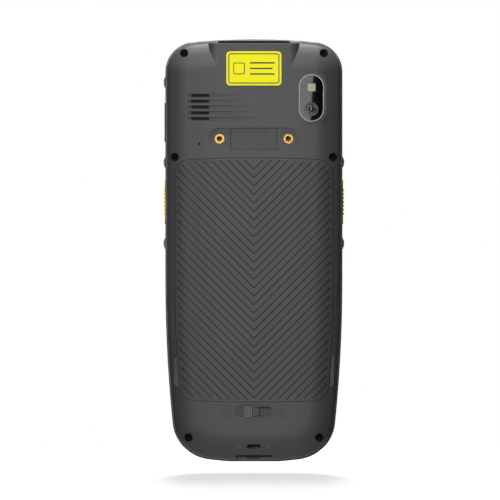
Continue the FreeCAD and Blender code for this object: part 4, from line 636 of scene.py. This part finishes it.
def threaded_brass():
    """Brass with painted shade that deepens down the bore, and fine thread rings of painted shade.
    """
    brass_in_shade, thread_shade = (0.11, 0.055, 0.014, 1), (0.01, 0.006, 0.003, 1)
    shade_start, shade_end = 0.02, 1.4
    radians_per_mm = 14.0
    material = finish("threaded_brass", (0.4, 0.23, 0.06), 0.34, metallic=1.0, relief=0.006)
    tree = material.node_tree
    x, y, z = place(tree)
    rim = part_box("threaded_inserts")[0][1] / MM
    depth = ramp(tree, y, rim + shade_start, rim + shade_end).outputs["Result"]
    rings = math_of(tree, "SINE", math_of(tree, "MULTIPLY", y, radians_per_mm))
    threads = math_of(tree, "MULTIPLY", spread(tree, rings, 0.0, 0.5), depth)
    # Painted shade down the bore and in the thread rings.
    brass = mixed(tree, depth, base_of(material), brass_in_shade)
    recolour(material, mixed(tree, threads, brass, thread_shade))
    return material


FINISHES = {
    "rear_shell": rear_shell("rear_shell", 0.5),
    "cover_shell": cover_shell(),
    "front_shell": finish("front_shell", FRONT_GREY, 0.45, marks=0.07, specular=0.4),
    "seal": finish("silicone", (0.02, 0.02, 0.021), 0.75, grain=3000.0, relief=0.01),
    "screw_steel": finish("black_screw", (0.003, 0.003, 0.003), 0.6, grain=5000.0, specular=0.05),
    "battery_wrap": battery_wrap(),
    "inner_plastic": finish("inner_plastic", (0.035, 0.035, 0.038), 0.6),
    "gold": finish("gold_plating", (0.83, 0.6, 0.27), 0.22, metallic=1.0, relief=0.004),
    "insert_brass": threaded_brass(),
    "latch_plastic": latch_grip(),
    "spring_steel": finish("spring_steel", (0.55, 0.55, 0.56), 0.3, metallic=1.0, relief=0.006),
    "ring_metal": finish("anodised_ring", (0.16, 0.16, 0.165), 0.32, metallic=1.0, relief=0.004),
    "camera_pane": camera_pane(),
    "lens": lens_barrel(),
    "flash": flash_cover(),
    "mesh": woven_mesh(),
    "label": finish(
        "yellow_film",
        (0.97, 0.92, 0.01),
        0.5,
        grain=900.0,
        relief=0.004,
        drift=0.015,
        specular=0.12,
    ),
    "scan_pane": finish(
        "scan_pane", (0.012, 0.006, 0.007), 0.4, relief=0.0, marks=0.03, specular=0.04
    ),
    "engine_metal": finish("engine_metal", (0.12, 0.12, 0.125), 0.4, metallic=1.0, relief=0.02),
    "bracket_steel": finish("bracket_steel", (0.5, 0.5, 0.5), 0.3, metallic=1.0, relief=0.006),
    "cover_glass": touch_glass(),
    "display": finish("display_frame", (0.02, 0.02, 0.025), 0.3, relief=0.006),
    "bezel_plastic": finish("bezel_plastic", (0.028, 0.028, 0.03), 0.5, relief=0.02),
    "key_dark": finish("key_rubber", (0.045, 0.045, 0.048), 0.55, grain=2600.0, relief=0.015),
    "key_yellow": finish(
        "key_yellow", (0.93, 0.62, 0.015), 0.45, grain=2600.0, relief=0.015, drift=0.03
    ),
    "board": board_finish(),
    "can_steel": finish("tinned_steel", (0.65, 0.65, 0.64), 0.25, metallic=1.0, relief=0.006),
}
INK_BLACK = finish("black_ink", (0.012, 0.012, 0.012), 0.5, grain=3000.0, relief=0.002)
INK_WHITE = finish("white_ink", (0.78, 0.78, 0.77), 0.5, grain=3000.0, relief=0.002, drift=0.03)
# Painted shade of engraved lines: the dark film of the padlock signs.
ENGRAVING_SHADE = finish("engraved_line", (0.02, 0.02, 0.021), 0.6, grain=3000.0, relief=0.002)


# Finishes on the CAD pieces

SLOT_OF = {entry["node"]: entry["material_slot"] for entry in frame["record"]["subparts"]}


def smooth_node(thing):
    """Round faces shade as one while edges stay crisp."""
    for polygon in thing.data.polygons:
        polygon.use_smooth = True
    weld = thing.modifiers.new("Weld", "WELD")
    weld.merge_threshold = 0.002 * MM
    split = thing.modifiers.new("Edges", "EDGE_SPLIT")
    split.split_angle = math.radians(28)
    split.use_edge_sharp = False
    weighted = thing.modifiers.new("Normals", "WEIGHTED_NORMAL")
    weighted.keep_sharp = True
    weighted.weight = 100


for name, thing in NODES.items():
    smooth_node(thing)
    if not thing.material_slots:
        thing.data.materials.append(None)
    for slot in thing.material_slots:
        slot.material = FINISHES[SLOT_OF[name]]


# Label print: a border, an empty square and ruled lines

def label_print():
    margin = 1.5
    square_offset, square_side = -5.6, 4.4
    rows, pitch, thickness = 3, 2.1, 0.55
    lines_offset, longest, shorter = 3.2, 9.4, 0.8
    low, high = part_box("label_tag")
    middle_x, middle_z = middle_of("label_tag")
    y = low[1] - 0.5 * INK
    width = (high[0] - low[0]) / MM - margin
    height = (high[2] - low[2]) / MM - margin
    border = face_plate("label_border", middle_x, middle_z, width, height, y)
    outline_only(round_corners(border, radius=0.9), line=0.38)
    symbol = face_plate(
        "label_symbol", middle_x + square_offset, middle_z, square_side, square_side, y
    )
    outline_only(round_corners(symbol, radius=0.5), line=0.34)
    parts = [border, symbol]
    left = middle_x + lines_offset - longest / 2
    for row in range(rows):
        length = longest - shorter * (row % 2)
        line_z = middle_z + pitch * ((rows - 1) / 2 - row)
        line = face_plate(f"label_line_{row}", left + length / 2, line_z, length, thickness, y)
        parts.append(round_corners(line, radius=0.2, segments=3))
    marks = join("label_print", parts)
    finished(thicken(marks, -1), INK_BLACK)


label_print()


# Padlock signs beside the latch, drawn as painted shade of engraved lines

PADLOCK_X = 10.35
PADLOCK_Z = 18.3


def padlock(name, x, z, shift):
    """Outline of a padlock: shift moves its shackle aside, which shows it open."""
    line = 0.27
    body_width, body_height, corner = 3.5, 2.9, 0.3
    keyhole_rise, keyhole_size = 0.15, 0.75
    stem_drop, stem_width, stem_height = 0.45, 0.3, 0.8
    hoop_radius, hoop_z = 1.0, z + 2.1
    leg_foot, short_leg, overlap = 1.4, 0.4, 0.1
    y = BACK - 0.2 * INK
    body = face_plate(name + "_box", x, z, body_width, body_height, y)
    outline_only(round_corners(body, corner, segments=3), line)
    keyhole = face_plate(name + "_hole", x, z + keyhole_rise, keyhole_size, keyhole_size, y)
    round_corners(keyhole, corner, segments=4)
    stem = face_plate(name + "_stem", x, z - stem_drop, stem_width, stem_height, y)
    hoop = half_hoop(name + "_hoop", x + shift, hoop_z, hoop_radius, line, y)
    parts = [body, keyhole, stem, hoop]
    for side in (-1, 1):
        leg_low = hoop_z - short_leg if shift and side == 1 else z + leg_foot
        leg_x = x + shift + side * hoop_radius
        leg_height = hoop_z - leg_low + overlap
        leg = face_plate(
            f"{name}_leg_{side + 1}", leg_x, (leg_low + hoop_z) / 2, line, leg_height, y
        )
        parts.append(leg)
    sign = join(name, parts)
    finished(thicken(sign, -1), ENGRAVING_SHADE)


padlock("padlock_closed", -PADLOCK_X, PADLOCK_Z, shift=0.0)
padlock("padlock_open", PADLOCK_X, PADLOCK_Z, shift=2.1)


# Lens dome behind the camera pane

def lens_dome():
    """A shallow cap of a ball that stands out of the camera module, cut just inside its face."""
    radius, ball_depth, cut_depth = 1.6 * MM, 1.15 * MM, 0.02 * MM
    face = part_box("camera_module")[0][1]
    deselect_all()
    bpy.ops.mesh.primitive_uv_sphere_add(
        segments=48,
        ring_count=24,
        radius=radius,
        location=(LENS_X * MM, face + ball_depth, LENS_Z * MM),
    )
    dome = settle(named("lens_dome"))
    with editing(dome):
        bpy.ops.mesh.bisect(
            plane_co=(0, face + cut_depth, 0), plane_no=(0, 1, 0), clear_outer=True, use_fill=True
        )
    bpy.ops.object.shade_smooth_by_angle(angle=math.radians(40))
    glass = finish("lens_glass", (0.01, 0.03, 0.09), 0.04, relief=0.0, marks=0.01, coat=0.8)
    finished(dome, glass)


lens_dome()


# Raised lip under the lanyard slot, paler than the casing as a painted highlight

def lanyard_lip():
    """A half hoop turned to hang down, made flatter and deeper, and leant; its pale colour is a
    painted highlight.
    """
    sunk_in, ends_z = 0.74 * MM, 5.75 * MM
    lean = math.radians(-19)
    lip = half_hoop("lanyard_lip", 0, 0, radius=5.6, line=0.42, y=0)
    with editing(lip):
        bpy.ops.transform.resize(value=(1, 6, -0.2), center_override=(0, 0, 0))
        bpy.ops.mesh.normals_make_consistent(inside=False)
    lip.rotation_euler = (lean, 0, 0)
    lip.location = (0, BACK + sunk_in, ends_z)
    settle(lip)
    # Twice the casing's grey: a painted highlight along the lip.
    finished(lip, finish("lip_edge", (0.125, 0.125, 0.13), 0.5))


lanyard_lip()


# Key legends

DIGIT_SIZE = 3.6
WORD_SIZE = 2.1
SCAN_SIZE = 3.2


def legend(node_name, text, size, ink):
    middle_x, middle_z = middle_of(node_name)
    key_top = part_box(node_name)[1][1]
    deselect_all()
    bpy.ops.object.text_add(
        location=(middle_x * MM, key_top + 0.1 * INK, middle_z * MM),
        rotation=(math.pi / 2, 0, math.pi),
    )
    words = bpy.context.active_object
    words.data.body = text
    words.data.size = size * MM
    words.data.align_x = "CENTER"
    words.data.align_y = "CENTER"
    words.data.resolution_u = 4
    bpy.ops.object.convert(target="MESH")
    words = settle(named("legend_" + node_name))
    finished(thicken(words, 1), ink, node_name)


LEGENDS = {
    "key_menu": "MENU",
    "key_power": "POWER",
    "key_delete": "DEL",
    "key_enter": "ENTER",
    "key_up": "UP",
    "key_down": "DOWN",
    "key_star": "*",
    "key_hash": "#",
}
for digit in range(10):
    LEGENDS[f"key_{digit}"] = str(digit)
for key, text in LEGENDS.items():
    legend(key, text, DIGIT_SIZE if len(text) == 1 else WORD_SIZE, INK_WHITE)
legend("key_scan", "SCAN", SCAN_SIZE, INK_BLACK)


# Stage, in metres: floor, boards and lamps

MIDDLE = (0, 0, 80 * MM)
FLOOR_DROP = 4.6 * MM
FLOOR_RADIUS = 0.32
FLOOR_TONE = (0.06, 0.06, 0.06)
FLOOR_GLOW = 0.54
GLOW_START_MM = 60.0
GLOW_END_MM = 260.0
AMBIENT = 0.08


def glow(tree, shader, strength):
    shader.inputs["Emission Color"].default_value = WHITE
    feed(tree, shader.inputs["Emission Strength"], strength)


def floor():
    """A dark disc with a glow that only the camera sees, which rises to white at its edge."""
    deselect_all()
    bpy.ops.mesh.primitive_circle_add(
        vertices=96, radius=FLOOR_RADIUS, fill_type="NGON", location=(0, 0, -FLOOR_DROP)
    )
    ground = settle(named("floor"))
    material, tree, shader = tree_of("floor_paper")
    made = add_grain(tree, 400.0)
    paper = mixed(tree, made["Tone"], shade(FLOOR_TONE, 0.98), shade(FLOOR_TONE, 1.02))
    feed(tree, shader.inputs["Base Color"], paper)
    shader.inputs["Roughness"].default_value = 0.95
    shader.inputs["Specular IOR Level"].default_value = 0.0
    x, y, z = place(tree)
    rise = ramp(tree, distance(tree, x, y), GLOW_START_MM, GLOW_END_MM)
    rise.inputs["To Min"].default_value = FLOOR_GLOW
    seen = node(tree, "ShaderNodeLightPath").outputs["Is Camera Ray"]
    glow(tree, shader, math_of(tree, "MULTIPLY", seen, rise.outputs["Result"]))
    ground.data.materials.append(material)
    ground.visible_diffuse = False
    ground.visible_glossy = False
    return ground


def card(name, corners, tone, strength=0.0):
    """A board that the camera doesn't see and the object's surfaces reflect."""
    deselect_all()
    bpy.ops.mesh.primitive_plane_add(size=1)
    board = named(name)
    for corner, spot in zip(board.data.vertices, corners):
        corner.co = spot
    felt = (tone, tone, tone)
    material = finish(name + "_felt", felt, 0.9, grain=800.0, relief=0.01, specular=0.0)
    glow(material.node_tree, shader_of(material), strength)
    board.data.materials.append(material)
    board.visible_camera = False
    board.visible_shadow = False


def upright(left, right, y, low, high, lean=0.0):
    """Corners of a board across the view, its right edge leaning at the top."""
    return ((left, y, low), (right, y, low), (left, y, high), (right + lean, y, high))


def beside(x, near, far, low, high):
    """Corners of a board along one side of the object."""
    return ((x, near, low), (x, far, low), (x, near, high), (x, far, high))


def lamp(name, location, size, power):
    """A square lamp that is aimed at the middle of the terminal."""
    data = bpy.data.lights.new(name, "AREA")
    data.energy = power
    data.size = size
    thing = bpy.data.objects.new(name, data)
    bpy.context.scene.collection.objects.link(thing)
    thing.location = location
    thing.rotation_euler = (Vector(MIDDLE) - Vector(location)).to_track_quat("-Z", "Y").to_euler()
    return thing


def lights_only(source, group_name, things):
    """Keeps the light of a lamp to these objects."""
    group = bpy.data.collections.new(group_name)
    for thing in things:
        group.objects.link(thing)
    source.light_linking.receiver_collection = group


def on_front(thing):
    starts = ("front_casing", "touch_glass", "keypad_bezel", "key_", "legend_")
    return thing.type == "MESH" and thing.name.startswith(starts)


def backdrop_light():
    """White for what the camera, gloss and glass see, and a dim grey for the rest."""
    world = bpy.data.worlds.new("studio")
    bpy.context.scene.world = world
    world.use_nodes = True
    tree = world.node_tree
    tree.nodes.clear()
    out = tree.nodes.new("ShaderNodeOutputWorld")
    background = tree.nodes.new("ShaderNodeBackground")
    background.inputs["Color"].default_value = WHITE
    tree.links.new(background.outputs[0], out.inputs[0])
    path = tree.nodes.new("ShaderNodeLightPath")
    mirrored = math_of(
        tree, "MAXIMUM", path.outputs["Is Glossy Ray"], path.outputs["Is Transmission Ray"]
    )
    seen = math_of(tree, "MAXIMUM", path.outputs["Is Camera Ray"], mirrored)
    tree.links.new(spread(tree, seen, AMBIENT, 1.0), background.inputs["Strength"])


ground = floor()
backdrop_light()
for side, x, tone in (("left", -0.5, 0.02), ("right", 0.5, 0.01)):
    card(f"side_board_{side}", beside(x, near=-2.2, far=0.4, low=-0.3, high=0.8), tone)
card("front_board", upright(left=-1.2, right=1.2, y=-2.3, low=-0.5, high=1.0), tone=0.01)
card("back_board", upright(left=-1.2, right=1.2, y=1.1, low=-0.6, high=1.4), tone=0.02)
card(
    "pale_board",
    upright(left=0.0, right=0.0392, y=-2.2, low=0.15, high=0.22, lean=0.0046),
    tone=0.3,
    strength=3.7,
)
lamp("key_lamp", (-0.28, -1.35, 0.5), size=0.6, power=14.6)
lamp("top_lamp", (0, -0.08, 0.95), size=0.3, power=14)
front_lamp = lamp("front_lamp", (0.25, 1.3, 0.55), size=0.7, power=16)
front_things = [thing for thing in bpy.context.scene.objects if on_front(thing)]
lights_only(front_lamp, "front_pieces", front_things)
shadow_lamp = lamp("shadow_lamp", (0, 0.9, 0.44), size=0.2, power=150)
lights_only(shadow_lamp, "floor_only", [ground])


# Camera: level, straight behind the back, at the scale of the photograph

DISTANCE = 2.4
SCALE_PLANE = -2 * MM
PIXEL = 0.3785 * MM
PHOTOGRAPH_PIXELS = 500
SENSOR_WIDTH = 36
FRAMING_SHIFT = -0.0078


def photograph_camera():
    data = bpy.data.cameras.new("camera")
    data.sensor_width = SENSOR_WIDTH
    data.lens = DISTANCE * SENSOR_WIDTH / (PHOTOGRAPH_PIXELS * PIXEL)
    data.shift_x = FRAMING_SHIFT
    camera = bpy.data.objects.new("camera", data)
    bpy.context.scene.collection.objects.link(camera)
    camera.location = (0, SCALE_PLANE - DISTANCE, MIDDLE[2])
    camera.rotation_euler = (math.pi / 2, 0, 0)
    bpy.context.scene.camera = camera


photograph_camera()
bpy.context.scene.view_settings.view_transform = "Standard"
